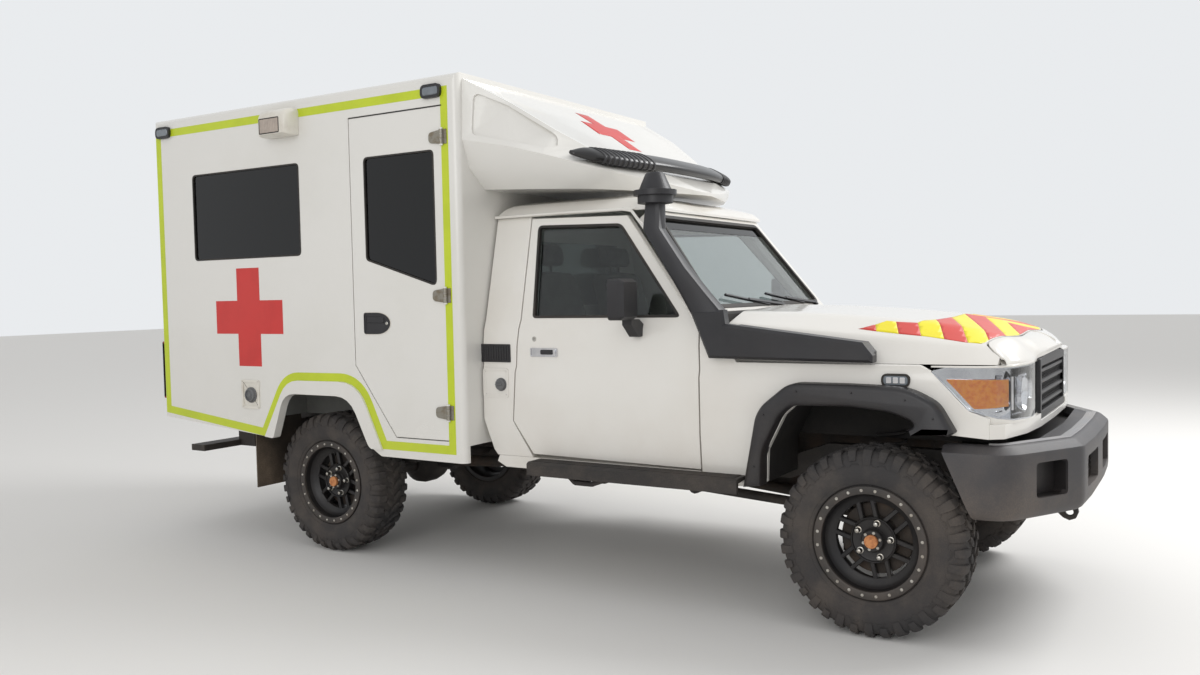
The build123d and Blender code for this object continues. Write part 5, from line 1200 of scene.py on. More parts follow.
def make_door_handles(settings):
    door = surface_of("door_right")
    u, v = DOOR_HANDLE_START
    end, top = u + settings.handle_length, v + DOOR_HANDLE_HEIGHT
    panel = standing(on_right, side_reach(door, (u + end) / 2, v + DOOR_HANDLE_HEIGHT / 2))
    outline = rounded(rectangle(u, end, v, top), 0.007)
    recess = Form().prism(offset(outline, -0.003), panel, -0.003, 0.0012)
    recess.band(outline, 0, -0.0045, panel, -0.003, 0.0045)
    tab = rounded(rectangle(end - 0.026, end - 0.012, v + 0.006, top - 0.006), 0.003, 3)
    recess.prism(tab, panel, 0.0, 0.009, 0.002)
    both_sides("door_handle_recess", recess, "cab_door_{side}", "body_paint", "chrome")
    paddle = rounded(rectangle(u + 0.062, end - 0.03, v + 0.011, top - 0.009), 0.008)
    both_sides("door_handle_pull", Form().prism(paddle, panel, 0.0, 0.0075, 0.0025), "cab_door_{side}",
               "black_plastic")
    u, v = DOOR_LOCK
    place = at((u, -side_reach(door, u, v), v), (0, -1, 0))
    both_sides("door_lock", Form().lathe(DOOR_LOCK_PROFILE, 32, place), "cab_door_{side}", "body_paint",
               "bright_steel")
    slot = Form().prism(rounded(box_about(0, 0, *DOOR_LOCK_SLOT_HALF), 0.001, 2), place, 0.001, 0.0029)
    both_sides("door_lock_slot", slot, "cab_door_{side}", "black_plastic")


def make_cab_vents(settings):
    """The louvre and the fuel filler behind each cab door."""
    quarter = surface_of("cab_rear")
    panel = standing(on_right, side_reach(quarter, *LOUVRE_PLACE))
    outline = rounded(LOUVRE, 0.006, 3)
    louvre = Form().prism(offset(outline, -0.004), panel, -0.005, 0.0012)
    louvre.band(outline, 0, -0.006, panel, -0.005, 0.004)
    (low_u, low_v), _, (high_u, high_v), _ = LOUVRE
    for number in range(settings.louvre_slats):
        u = between(low_u + 0.013, high_u - 0.013, number / (settings.louvre_slats - 1))
        slat = rounded(rectangle(u - SLAT_HALF, u + SLAT_HALF, low_v + 0.01, high_v - 0.01), 0.003, 3)
        louvre.prism(slat, panel, 0.0, 0.0055, 0.0022)
    both_sides("quarter_louvre", louvre, "chassis", "black_plastic")
    face = side_reach(quarter, *FILLER_PLACE)
    panel = standing(on_right, face)
    outline = rounded(FUEL_FLAP, 0.02)
    lip = Form().band(outline, 0, -0.009, panel, -0.004, 0.0028)
    lip.band(outline, -0.0085, -0.02, panel, -0.004, 0.0008)
    both_sides("filler_recess", lip, "chassis", "body_paint", "cab_paint", 24)
    place = at((FUEL_CAP[0], -face, FUEL_CAP[1]), (0, -1, 0))
    cap = Form().lathe(FUEL_CAP_PROFILE, 40, place)
    for angle in turns(FUEL_CAP_GRIPS):
        cap.prism(circle(*turned(FUEL_CAP_GRIP_RADIUS, 0, angle), 0.0022, 8), place, 0.0, 0.0142, 0.001)
    cap.prism(rounded(box_about(0, 0, 0.017, 0.0045), 0.002, 3), place, 0.014, 0.021, 0.002)
    both_sides("filler_cap", cap, "chassis", "black_plastic", "grey_plastic")


def make_window_rubbers(settings):
    outline = rounded(DOOR_WINDOW, DOOR_WINDOW_RADII, 8)
    door = Form().band(outline, 0.0018, -settings.rubber_width, on_door_window, -0.017, 0.0022)
    both_sides("door_window_rubber", door, "cab_door_{side}", "rubber")
    outline = rounded(SCREEN_OPENING, SCREEN_CORNER, 8)
    screen = Form().band(outline, 0.011, -0.01, on_screen, -0.0115, 0.0045)
    piece("windscreen_rubber", screen, "chassis", "rubber")
    top = SCREEN_OPENING[1][1] - 0.006
    low, flare = top - SCREEN_BAND_DEPTH, SCREEN_BAND_DEPTH * SCREEN_BAND_FLARE
    shade_band = [(-SCREEN_BAND_HALF, top), (SCREEN_BAND_HALF, top), (SCREEN_BAND_HALF + flare, low),
                  (-SCREEN_BAND_HALF - flare, low)]
    band = Form().prism(shade_band, on_screen, -0.0116, -0.0108)
    piece("windscreen_shade_band", band, "chassis", "tinted_glass")


def make_mirrors(settings):
    glass = rounded(MIRROR_FACE, 0.02)
    face = Form().prism(glass, standing(on_rear, -MIRROR_GLASS_X), -0.003, 0.0, 0.0008)
    both_sides("mirror_glass", face, "cab_door_{side}", "black_plastic", "mirror_silver")


# Ambulance body fittings
class AmbulanceBody(PropertyGroup):
    handle_height: FloatProperty(name="Side door handle height", default=0.115, unit="LENGTH",
                                 description="Height of the black door latch dish")
    hinge_length: FloatProperty(name="Hinge leaf length", default=0.087, unit="LENGTH",
                                description="Reach of the bullet-shaped hinge leaves")


SIDE_HINGE_X, SIDE_HINGE_HEIGHTS = -0.221, (0.871, 1.474, 2.281)
REAR_HINGE_Y, REAR_HINGE_HEIGHTS = 0.863, (0.95, 1.56, 2.3)
REAR_HINGE_EXTRA = 0.004
HINGE_HALF_HEIGHT, HINGE_TAPER, HINGE_TIP_RADIUS = 0.037, 0.7, 0.022
HINGE_LEAF_THICK, HINGE_FIXED_THICK, HINGE_FIXED_REACH = 0.0086, 0.0062, (0.004, 0.03)
HINGE_SCREW_RADIUS, HINGE_BARREL_OUT = 0.0055, 0.0098
HINGE_SCREWS = ((0.78, 0.0), (0.42, 0.021), (0.42, -0.021))  # share of the leaf's length, height
HINGE_KNUCKLES = ((-1.0, -0.36), (-0.32, 0.32), (0.36, 1.0))  # shares of the half height
HINGE_KNUCKLE_RADII = (0.0105, 0.0118, 0.0118, 0.0105)
LATCH_REAR, LATCH_MIDDLE_Z, LATCH_HALF_HEIGHT = -0.801, 1.3325, 0.0575
LATCH_CORNER = [(0.012, 0.0), (0.003, 0.004), (0.0, 0.014)]
LATCH_ROUND_MIDDLE, LATCH_ROUND_REACH = 0.095, 0.094
LATCH_PADDLE = rectangle(LATCH_REAR + 0.024, LATCH_REAR + 0.145,
                         LATCH_MIDDLE_Z + 0.002, LATCH_MIDDLE_Z + 0.036)
LATCH_LOCK, LATCH_LOCK_PROFILE = 0.165, [(-0.004, 0.009), (0.003, 0.009), (0.0045, 0.007)]
BOX_WINDOW = rectangle(-2.196, -1.27, 1.715, 2.236)
SIDE_DOOR_WINDOW = [(-0.774, 1.672), (-0.774, 2.223), (-0.282, 2.223), (-0.282, 1.521)]
REAR_DOOR_WINDOW = rectangle(-0.7, -0.16, 1.7, 2.2)
WINDOW_CORNER, WINDOW_RUBBER_WIDTH = 0.03, 0.009
SIDE_DOOR_TOP_SEAL = rectangle(-0.873, -0.222, 2.4365, 2.4435)
SCENE_LIGHT_ROWS = [  # outward, then the housing's low and high x and z
    (1.0005, -1.5, -1.257, 2.388, 2.541), (1.03, -1.5, -1.257, 2.387, 2.541),
    (1.055, -1.497, -1.26, 2.387, 2.536), (1.075, -1.492, -1.265, 2.389, 2.525),
    (1.087, -1.486, -1.271, 2.392, 2.512), (1.0945, -1.478, -1.279, 2.398, 2.498),
]
SCENE_LENS = rectangle(-1.474, -1.312, 2.4, 2.488)
SCENE_LENS_DEPTH = (1.088, 1.0952)
SCENE_LENS_RIBS = 11
MARKER_LAMPS = ((-2.447, 2.516), (-0.282, 2.516))
MARKER_HALF = (0.065, 0.035)
INLET = rectangle(-1.808, -1.656, 0.832, 1.0)
INLET_SOCKET = (-1.727, 0.912)
INLET_PROFILE = [(0.0, 0.046), (0.006, 0.046), (0.008, 0.044), (0.008, 0.04), (0.019, 0.038), (0.021, 0.036),
                 (0.021, 0.031), (0.013, 0.03), (0.013, 0.012)]
INLET_PINS, INLET_PIN_CIRCLE = 5, 0.0205
BOX_FRONT_X = -0.124
BAR_LEAN = radians(30)
BAR_ROWS = [  # distance from the middle, ahead of the box, z, half depth, half thickness
    (0.0, 0.792, 2.135, 0.065, 0.029), (0.3, 0.772, 2.137, 0.065, 0.029), (0.6, 0.702, 2.142, 0.065, 0.029),
    (0.76, 0.632, 2.152, 0.052, 0.025), (0.835, 0.577, 2.158, 0.016, 0.01),
]
BAR_STEPS, BAR_SIDES = 60, 32
BAR_ROUNDNESS = (0.75, 0.7)
BAR_RIB_REACH = (0.4, 0.74)
BAR_RIB_SECTION = ((-0.007, -0.02), (-0.005, 0.09), (0.005, 0.09), (0.007, -0.02))
REAR_LAMP_Y, REAR_LAMP_HALF, REAR_LENS_HALF = 0.93, 0.045, 0.038
REAR_LAMP_HEIGHTS = (0.86, 1.22)
REAR_LENSES = (("red_lens", "red_lens", 0.868, 0.988), ("lamp_white", "clear_lens", 0.993, 1.05),
               ("amber_lens", "clear_lens", 1.055, 1.212))
GRAB_HANDLE_Y, GRAB_HANDLE_RADIUS = 0.1, 0.011
GRAB_HANDLE_PATH = ((0, 1.42), (0.034, 1.428), (0.042, 1.45), (0.042, 1.87), (0.034, 1.892), (0, 1.9))
REAR_LATCH, REAR_LATCH_PADDLE = rectangle(0.035, 0.175, 1.25, 1.35), rectangle(0.055, 0.155, 1.292, 1.322)
PLATE, PLATE_LAMP = rectangle(0.2, 0.72, 0.965, 1.075), rectangle(0.38, 0.54, 1.09, 1.118)
HIGH_BRAKE_LAMP = rectangle(-0.15, 0.15, 2.532, 2.558)


def latch_outline(stretch):
    """The D-shaped dish of a door latch, flat towards the rear."""
    low, high = LATCH_MIDDLE_Z - LATCH_HALF_HEIGHT, LATCH_MIDDLE_Z + LATCH_HALF_HEIGHT
    shape = [(LATCH_REAR + u, low + v) for u, v in LATCH_CORNER]
    shape += [(LATCH_REAR + u, high - v) for u, v in reversed(LATCH_CORNER)]
    for number in range(17):
        turn = pi / 2 - pi * number / 16
        shape.append((LATCH_REAR + LATCH_ROUND_MIDDLE + LATCH_ROUND_REACH * cos(turn),
                      LATCH_MIDDLE_Z + LATCH_HALF_HEIGHT * sin(turn)))
    return [(u, LATCH_MIDDLE_Z + (v - LATCH_MIDDLE_Z) * stretch) for u, v in shape]


def make_latch(settings):
    outline = latch_outline(settings.handle_height / (2 * LATCH_HALF_HEIGHT))
    rim = Form().band(outline, 0, -0.006, on_box_side, -0.006, 0.005)
    rim.band(outline, -0.0055, -0.018, on_box_side, -0.006, 0.0028)
    rim.prism(offset(outline, -0.017), on_box_side, -0.006, 0.0014)
    rim.prism(rounded(LATCH_PADDLE, 0.012), on_box_side, 0, 0.007, 0.003)
    piece("side_door_latch", rim, "side_door", "black_plastic")
    seal = Form().band(outline, 0.003, -0.001, on_box_side, -0.004, 0.002)
    piece("side_door_latch_seal", seal, "side_door", "box_paint", "lamp_white")
    place = at((LATCH_REAR + LATCH_LOCK, -BOX_SIDE_Y - 0.0014, LATCH_MIDDLE_Z), (0, -1, 0))
    barrel = Form().lathe(LATCH_LOCK_PROFILE, 24, place)
    piece("side_door_latch_lock", barrel, "side_door", "black_plastic", "bright_steel")


def hinges(place, edge, back, heights, length):
    """The swinging leaves of a door's hinges with their barrels, and the fixed leaves."""
    half = HINGE_HALF_HEIGHT
    taper = half * HINGE_TAPER
    tip = edge + back * length
    leaves, fixed = Form(), Form()
    for height in heights:
        leaf = [(tip, height - taper), (edge, height - half), (edge, height + half), (tip, height + taper)]
        leaf = rounded(leaf, [HINGE_TIP_RADIUS, 0.0, 0.0, HINGE_TIP_RADIUS])
        leaves.prism(leaf, place, 0.0, HINGE_LEAF_THICK, 0.002)
        for share, rise in HINGE_SCREWS:
            screw = circle(edge + back * length * share, height + rise, HINGE_SCREW_RADIUS, 14)
            leaves.prism(screw, place, 0.008, 0.0104, 0.0012)
        reach = sorted(edge - back * out for out in HINGE_FIXED_REACH)
        fixed.prism(rectangle(*reach, height - half, height + half), place, 0.0, HINGE_FIXED_THICK, 0.0015)
        for low, high in HINGE_KNUCKLES:
            knuckle = [place(edge, height + half * share, HINGE_BARREL_OUT)
                       for share in (low, low + 0.03, high - 0.03, high)]
            leaves.tube(knuckle, HINGE_KNUCKLE_RADII, 16)
    return leaves, fixed


def make_hinges(settings):
    leaves, fixed = hinges(on_box_side, SIDE_HINGE_X, -1, SIDE_HINGE_HEIGHTS, settings.hinge_length)
    piece("side_door_hinges", leaves, "side_door", "box_paint", "hinge_steel")
    piece("side_hinge_leaves", fixed, "chassis", "box_paint", "hinge_steel")
    leaves, fixed = hinges(on_box_rear, -REAR_HINGE_Y, 1, REAR_HINGE_HEIGHTS,
                           settings.hinge_length + REAR_HINGE_EXTRA)
    both_sides("rear_door_hinges", leaves, "rear_door_{side}", "box_paint", "hinge_steel")
    both_sides("rear_hinge_leaves", fixed, "chassis", "box_paint", "hinge_steel")


def make_box_windows(settings):
    for name, window, place, body, make in (
            ("box_window_rubber", BOX_WINDOW, on_box_side, "chassis", both_sides),
            ("side_door_window_rubber", SIDE_DOOR_WINDOW, on_box_side, "side_door", piece),
            ("rear_window_rubber", REAR_DOOR_WINDOW, on_box_rear, "rear_door_{side}", both_sides)):
        outline = rounded(window, WINDOW_CORNER)
        make(name, Form().band(outline, 0, -WINDOW_RUBBER_WIDTH, place, -0.008, 0.0012), body, "rubber")
    seal = Form().prism(SIDE_DOOR_TOP_SEAL, on_box_side, -0.012, 0.0016)
    piece("side_door_top_seal", seal, "chassis", "rubber")


def make_side_lamps(settings):
    rings = []
    for out, low_u, high_u, low_v, high_v in SCENE_LIGHT_ROWS:
        shape = rounded(rectangle(low_u, high_u, low_v, high_v), [0.012, 0.012, 0.03, 0.03], 6)
        rings.append([on_right(u, v, out) for u, v in shape])
    both_sides("scene_light_housing", Form().loft(rings), "chassis", "clear_lens", "lamp_white", 40,
               ["side_lamps"])
    lens = rounded(SCENE_LENS, 0.008)
    low, high = SCENE_LENS_DEPTH
    rim = Form().band(lens, 0, -0.006, on_right, low, high + 0.0004)
    both_sides("scene_light_rim", rim, "chassis", "rubber")
    pane = Form().prism(offset(lens, -0.0055), on_right, low, high)
    (low_u, low_v), _, (high_u, high_v), _ = SCENE_LENS
    for number in range(SCENE_LENS_RIBS):
        u = between(low_u + 0.014, high_u - 0.014, number / (SCENE_LENS_RIBS - 1))
        rib = [on_right(u, v, high - 0.0002) for v in (low_v + 0.01, high_v - 0.01)]
        pane.tube(rib, 0.0016, 6)
    both_sides("scene_light_lens", pane, "chassis", "clear_lens", "dusty_lens")
    rims, lenses = Form(), Form()
    for u, v in MARKER_LAMPS:
        shape = rounded(box_about(u, v, *MARKER_HALF), 0.031, 8)
        rims.band(shape, 0, -0.014, on_box_side, -0.001, 0.018)
        rims.prism(offset(shape, -0.006), on_box_side, -0.001, 0.012)
        lenses.prism(offset(shape, -0.013), on_box_side, 0.01, 0.0215, 0.005)
    both_sides("marker_lamp_rims", rims, "chassis", "rubber", "black_plastic")
    both_sides("marker_lamp_lenses", lenses, "chassis", "clear_lens", "grey_lens")


def make_light_bar(settings):
    """The bar over the cab: a dark lens between two ribbed ends, bent back towards its tips."""
    def squared(value, power):
        return abs(value) ** power * (1 if value > 0 else -1)
    half = BAR_ROWS[-1][0]
    rings, ribs = [], Form()
    for step in range(-BAR_STEPS, BAR_STEPS + 1):
        y = half * sin(step / BAR_STEPS * pi / 2)
        ahead, height, depth, thick = smoothed(BAR_ROWS, abs(y))
        ring = []
        for turn in turns(BAR_SIDES):
            a, b = depth * squared(cos(turn), BAR_ROUNDNESS[0]), thick * squared(sin(turn), BAR_ROUNDNESS[1])
            ring.append((BOX_FRONT_X + ahead + a * cos(BAR_LEAN) + b * sin(BAR_LEAN), y,
                         height - a * sin(BAR_LEAN) + b * cos(BAR_LEAN)))
        rings.append(ring)
        if BAR_RIB_REACH[0] < abs(y) < BAR_RIB_REACH[1] and step % 2 == 0:
            middle = Vector((BOX_FRONT_X + ahead, y, height))
            ribs.loft([[Vector(point).lerp(middle, -grow) + Vector((0, shift, 0)) for point in ring]
                       for shift, grow in BAR_RIB_SECTION])
    piece("light_bar_body", Form().loft(rings), "chassis", "bar_lens", crease=60, replaces=["light_bar"])
    piece("light_bar_ribs", ribs, "chassis", "bar_lens", "black_plastic")


def make_rear_fittings(settings):
    """Guessed: the lamps' lenses, door latches, grab handles, brake lamp and blank plate of the back."""
    for side, sign in SIDES.items():
        middle = sign * REAR_LAMP_Y
        outer = rectangle(middle - REAR_LAMP_HALF, middle + REAR_LAMP_HALF, *REAR_LAMP_HEIGHTS)
        rim = Form().band(rounded(outer, 0.012), 0, -0.006, on_box_rear, 0, 0.03)
        piece(f"rear_lamp_rim_{side}", rim, "chassis", "rubber")
        for colour, slot, low, high in REAR_LENSES:
            lens = rounded(rectangle(middle - REAR_LENS_HALF, middle + REAR_LENS_HALF, low, high), 0.006)
            pane = Form().prism(lens, on_box_rear, 0.02, 0.036, 0.004)
            piece(f"rear_lens_{colour}_{side}", pane, "chassis", slot, colour)
        handle = [on_box_rear(sign * GRAB_HANDLE_Y, z, out) for out, z in GRAB_HANDLE_PATH]
        bar = Form().tube(handle, GRAB_HANDLE_RADIUS, 12)
        piece(f"rear_grab_handle_{side}", bar, f"rear_door_{side}", "black_plastic")
    outline = rounded(REAR_LATCH, 0.035)
    latch = Form().band(outline, 0, -0.012, on_box_rear, -0.002, 0.005)
    latch.prism(offset(outline, -0.011), on_box_rear, -0.002, 0.0015)
    latch.prism(rounded(REAR_LATCH_PADDLE, 0.01), on_box_rear, 0, 0.009, 0.003)
    for side, form in (("left", latch), ("right", latch.mirrored())):
        piece(f"rear_door_latch_{side}", form, f"rear_door_{side}", "black_plastic")
    outline = rounded(PLATE, 0.01)
    plate = Form().prism(outline, on_box_rear, 0, 0.003, 0.001)
    piece("rear_plate_blank", plate, "rear_door_left", "body_paint", "box_paint")
    surround = Form().band(outline, 0.004, -0.003, on_box_rear, 0, 0.006)
    surround.prism(rounded(PLATE_LAMP, 0.008), on_box_rear, 0, 0.03, 0.006)
    piece("rear_plate_frame", surround, "rear_door_left", "black_plastic")
    brake = Form().prism(rounded(HIGH_BRAKE_LAMP, 0.012), on_box_rear, -0.002, 0.014, 0.004)
    piece("high_brake_lamp", brake, "chassis", "red_lens")


def make_inlet(settings):
    """The white mains inlet low on the box's side."""
    outline = rounded(INLET, 0.012)
    plate = Form().band(outline, 0, -0.014, on_box_side, -0.002, 0.007)
    plate.prism(offset(outline, -0.013), on_box_side, -0.002, 0.0016)
    both_sides("inlet_plate", plate, "chassis", "box_paint", "lamp_white", 24)
    place = at((INLET_SOCKET[0], -BOX_SIDE_Y - 0.0016, INLET_SOCKET[1]), (0, -1, 0))
    socket = Form().lathe(INLET_PROFILE, 40, place)
    socket.prism(circle(0, 0, 0.012, 20), place, 0.012, 0.0165, 0.0015)
    for number in range(INLET_PINS):
        u, v = turned(INLET_PIN_CIRCLE, 0, 2 * pi * number / INLET_PINS + pi / 2)
        socket.prism(circle(u, v, 0.0034, 12), place, 0.012, 0.0155, 0.0008)
    both_sides("inlet_socket", socket, "chassis", "box_paint", "grey_plastic")


# Bumper, grille and underbody
class AmbulanceFront(PropertyGroup):
    step_ribs: IntProperty(name="Step ribs", description="Ribs on the top of the front bumper", default=4,
                           min=1)
    rib_pitch: FloatProperty(name="Rib spacing", description="Distance between the bumper's step ribs",
                             default=0.0092, unit="LENGTH")


BUMPER_CORNERS = [(2.183, -0.885), (2.466, -0.885), (2.692, -0.485), (2.703, -0.2)]
BUMPER_PLAN = rounded(BUMPER_CORNERS, [0, 0.17, 0.12, 0], 8)
BUMPER_END = ((0.538, 2.33), (0.838, 2.2))  # height and x of the sloped rear ends, low and high
BUMPER_LEVELS = [(0.538, 0.034), (0.552, 0.014), (0.575, 0.003), (0.6, 0.0), (0.796, 0.0), (0.806, 0.003),
                 (0.83, 0.03), (0.836, 0.04), (0.838, 0.052)]
BUMPER_HOLLOW = [(2.05, -0.815), (2.42, -0.815), (2.53, -0.56), (2.553, 0.0)]
BUMPER_FLOOR = [(2.2, -0.8), (2.41, -0.8), (2.52, -0.555), (2.545, 0.0)]
BUMPER_FLOOR_HEIGHTS = (0.781, 0.786)
BUMPER_WALL = 0.03
BUMPER_TOP = 0.838
BUMPER_RIB_START, BUMPER_RIB_RADIUS = 0.06, 0.0028
BUMPER_PAD = (0.054, 0.096)
POCKET_ENDS = ((2.535, -0.733), (2.637, -0.572))
POCKET_HEIGHTS = (0.622, 0.764)
POCKET_LINING = 0.004
SLOT_HALF = (0.09, 0.395)
SLOT_HEIGHTS = (0.622, 0.752)
SLOT_BAR_HALF, SLOT_BAR_DEPTH, SLOT_BAR_THICK = (0.08, 0.405), (2.648, 2.668), 0.012
SLOT_BAR_HEIGHTS = [0.645 + row * 0.04 for row in range(3)]


def whole_outline(half):
    return half + [(x, -y) for x, y in reversed(half) if abs(y) > 1e-6]


def on_sides(low_high, heights):
    """A rectangle across the front and its mirror image, each from its reach out and its heights."""
    return [rectangle(*sorted((sign * low_high[0], sign * low_high[1])), *heights) for sign in (1, -1)]


def pockets():
    """For each corner of the bumper, the length of its lamp pocket and a place function on its face."""
    (x1, y1), (x2, y2) = POCKET_ENDS
    span = Vector((x2 - x1, y2 - y1))
    along = span.normalized()
    outward = Vector((along.y, -along.x))
    for sign in (1, -1):
        def on_face(u, v, depth, sign=sign):
            spot = Vector((x1, y1)) + along * u + outward * depth
            return (spot.x, spot.y * sign, v)
        yield span.length, on_face


def make_bumper(settings):
    """The front bumper: a hollow moulding with a lamp pocket in each corner and two slots in its face."""
    plan = whole_outline(BUMPER_PLAN)
    (low, ahead), (high, back) = BUMPER_END
    rings = []
    for z, inset in BUMPER_LEVELS:
        end = between(ahead, back, (z - low) / (high - low))
        rings.append([(max(x, end), y, z) for x, y in offset(plan, -inset)])
    inside = [(x if x > BUMPER_END[1][1] else x - 0.2, y) for x, y in offset(plan, -BUMPER_WALL)]
    cutters = [Form().prism(inside, on_plan, 0.5, 0.8),
               Form().prism(whole_outline(BUMPER_HOLLOW), on_plan, 0.75, 0.9)]
    lining = Form()
    for (span, on_face), slot in zip(pockets(), on_sides(SLOT_HALF, SLOT_HEIGHTS)):
        cutters.append(Form().prism(rounded(rectangle(0, span, *POCKET_HEIGHTS), 0.02), on_face, -0.09, 0.06))
        cutters.append(Form().prism(rounded(slot, 0.02), on_front, 2.6, 2.8))
        low, high = POCKET_HEIGHTS
        mouth = rectangle(-POCKET_LINING, span + POCKET_LINING, low - POCKET_LINING, high + POCKET_LINING)
        outline = rounded(mouth, 0.022)
        lining.band(outline, 0, -0.0042, on_face, -0.066, -0.006)
        lining.prism(offset(outline, -0.001), on_face, -0.07, -0.064)
    moulding = carved(Form().loft(rings), cutters)
    bumper = piece("bumper_moulding", moulding, "chassis", "bumper_plastic", crease=30,
                   replaces=["front_bumper"])
    bevelled(bumper, 0.004, 40)
    lining.prism(whole_outline(BUMPER_FLOOR), on_plan, *BUMPER_FLOOR_HEIGHTS)
    for z in SLOT_BAR_HEIGHTS:
        for bar in on_sides(SLOT_BAR_HALF, (z, z + SLOT_BAR_THICK)):
            lining.prism(bar, on_front, *SLOT_BAR_DEPTH, 0.003)
    piece("bumper_lining", lining, "chassis", "bumper_plastic", "black_plastic")


# The step's pad and ribs are light grey: painted highlight for sunlight on the bumper's top.
def make_bumper_step(settings):
    plan = whole_outline(BUMPER_PLAN)
    outer, inner = [offset(plan, -inset)[3:-3] for inset in BUMPER_PAD]
    low, high = BUMPER_TOP - 0.001, BUMPER_TOP + 0.0012
    ribs = Form().loft([[(x1, y1, low), (x2, y2, low), (x2, y2, high), (x1, y1, high)]
                        for (x1, y1), (x2, y2) in zip(outer, inner)])
    for number in range(settings.step_ribs):
        line = offset(plan, -BUMPER_RIB_START - number * settings.rib_pitch)[2:-2]
        ribs.tube([(x, y, BUMPER_TOP) for x, y in line], BUMPER_RIB_RADIUS, 6)
    piece("bumper_step_ribs", ribs, "chassis", "bumper_plastic", "bumper_top")


GRILLE_HALF, WIRE_HALF, WIRE_THICK = 0.322, 0.0012, 0.005
UPRIGHT_WIRES, UPRIGHT_HEIGHTS, UPRIGHT_X = 45, (0.927, 1.116), 2.488
LEVEL_WIRES, LEVEL_LOW, LEVEL_PITCH, LEVEL_HALF, LEVEL_X = 12, 0.935, 0.0158, 0.328, 2.487
SPRING_PLACE = (FRONT_AXLE_X - 0.02, -0.44, 0.5)
SPRING_COILS, SPRING_STEPS, SPRING_RADIUS = 7, 14, 0.062
SPRING_RISE, SPRING_WIRE = 0.0033, 0.0075


def make_grille_mesh(settings):
    """Fine upright and level wires behind the grille's bars."""
    wires = Form()
    for number in range(UPRIGHT_WIRES):
        y = -GRILLE_HALF + number * 2 * GRILLE_HALF / (UPRIGHT_WIRES - 1)
        wire = rectangle(y - WIRE_HALF, y + WIRE_HALF, *UPRIGHT_HEIGHTS)
        wires.prism(wire, on_front, UPRIGHT_X, UPRIGHT_X + WIRE_THICK)
    for number in range(LEVEL_WIRES):
        wire = box_about(0, LEVEL_LOW + number * LEVEL_PITCH, LEVEL_HALF, WIRE_HALF)
        wires.prism(wire, on_front, LEVEL_X, LEVEL_X + WIRE_THICK)
    piece("grille_mesh", wires, "chassis", "black_plastic")


def make_springs(settings):
    """The front coil springs, seen through the wheel arches."""
    x, y, low = SPRING_PLACE
    path = []
    for step in range(SPRING_STEPS * SPRING_COILS + 1):
        turn = 2 * pi * step / SPRING_STEPS
        path.append((x + SPRING_RADIUS * cos(turn), y + SPRING_RADIUS * sin(turn), low + step * SPRING_RISE))
    both_sides("front_spring", Form().tube(path, SPRING_WIRE, 8), "chassis", "chassis_black")


# Cab interior
class AmbulanceSeats(PropertyGroup):
    cushion_width: FloatProperty(name="Cushion width", description="Width of each seat cushion", default=0.48,
                                 unit="LENGTH")


SEAT_MIDDLE_Y = 0.37
SEAT_PARTS = {  # side outline in (x, z), half width
    "cushion": ([(0.1, 0.86), (0.1, 0.95), (0.13, 0.99), (0.34, 1.0), (0.54, 1.0), (0.582, 0.975),
                 (0.583, 0.9), (0.56, 0.86)], 0.24),
    "backrest": ([(0.095, 0.985), (-0.07, 1.555), (-0.06, 1.58), (0.0, 1.588), (0.022, 1.57), (0.1, 1.3),
                  (0.168, 1.02), (0.17, 0.985)], 0.23),
    "headrest": ([(-0.06, 1.625), (-0.075, 1.735), (-0.055, 1.745), (-0.02, 1.742), (0.0, 1.715),
                  (0.008, 1.65), (-0.005, 1.625)], 0.13),
}
SEAT_BASE, SEAT_BASE_HALF = rectangle(0.12, 0.56, 0.7, 0.86), 0.2
SEAT_WIDTH = 0.48  # of the outlines above
HEADREST_POST = ((-0.032, 1.56), (-0.036, 1.65))
HEADREST_POST_SHIFT, HEADREST_POST_RADIUS = 0.05, 0.007
PADDING_HALF = [(1.0, 0.8), (0.97, 0.93), (0.88, 0.99), (0.66, 1.0), (0.6, 0.975), (0.54, 1.0), (0.25, 1.02)]
PADDING_ROWS = [(-share, size) for share, size in PADDING_HALF] + [(0.0, 1.025)] + PADDING_HALF[::-1]


def padded_form(side_outline, half_width, middle_y):
    """A crowned pad: its side outline swept across, drawn in at both ends and along two sewn channels."""
    middle = sum((Vector(point) for point in side_outline), Vector((0, 0))) / len(side_outline)
    rings = []
    for share, size in PADDING_ROWS:
        ring = [middle + (Vector(point) - middle) * size for point in side_outline]
        rings.append([(point.x, middle_y + half_width * share, point.y) for point in ring])
    return Form().loft(rings)


def make_seats(settings):
    for side, sign in SIDES.items():
        seat_y = sign * SEAT_MIDDLE_Y
        for name, (outline, half) in SEAT_PARTS.items():
            form = padded_form(rounded(outline, 0.02, 3), half * settings.cushion_width / SEAT_WIDTH, seat_y)
            pad = piece(f"seat_{name}_{side}", form, "chassis", "seat_fabric", crease=60, replaces=["seats"])
            pad.modifiers.new("soft pad", "SUBSURF").render_levels = 1
        base = Form().prism(rounded(SEAT_BASE, 0.03), lambda u, v, depth, y=seat_y: (u, depth + y, v),
                            -SEAT_BASE_HALF, SEAT_BASE_HALF)
        for shift in (-HEADREST_POST_SHIFT, HEADREST_POST_SHIFT):
            base.tube([(x, seat_y + shift, z) for x, z in HEADREST_POST], HEADREST_POST_RADIUS, 8)
        piece(f"seat_frame_{side}", base, "chassis", "interior_plastic")


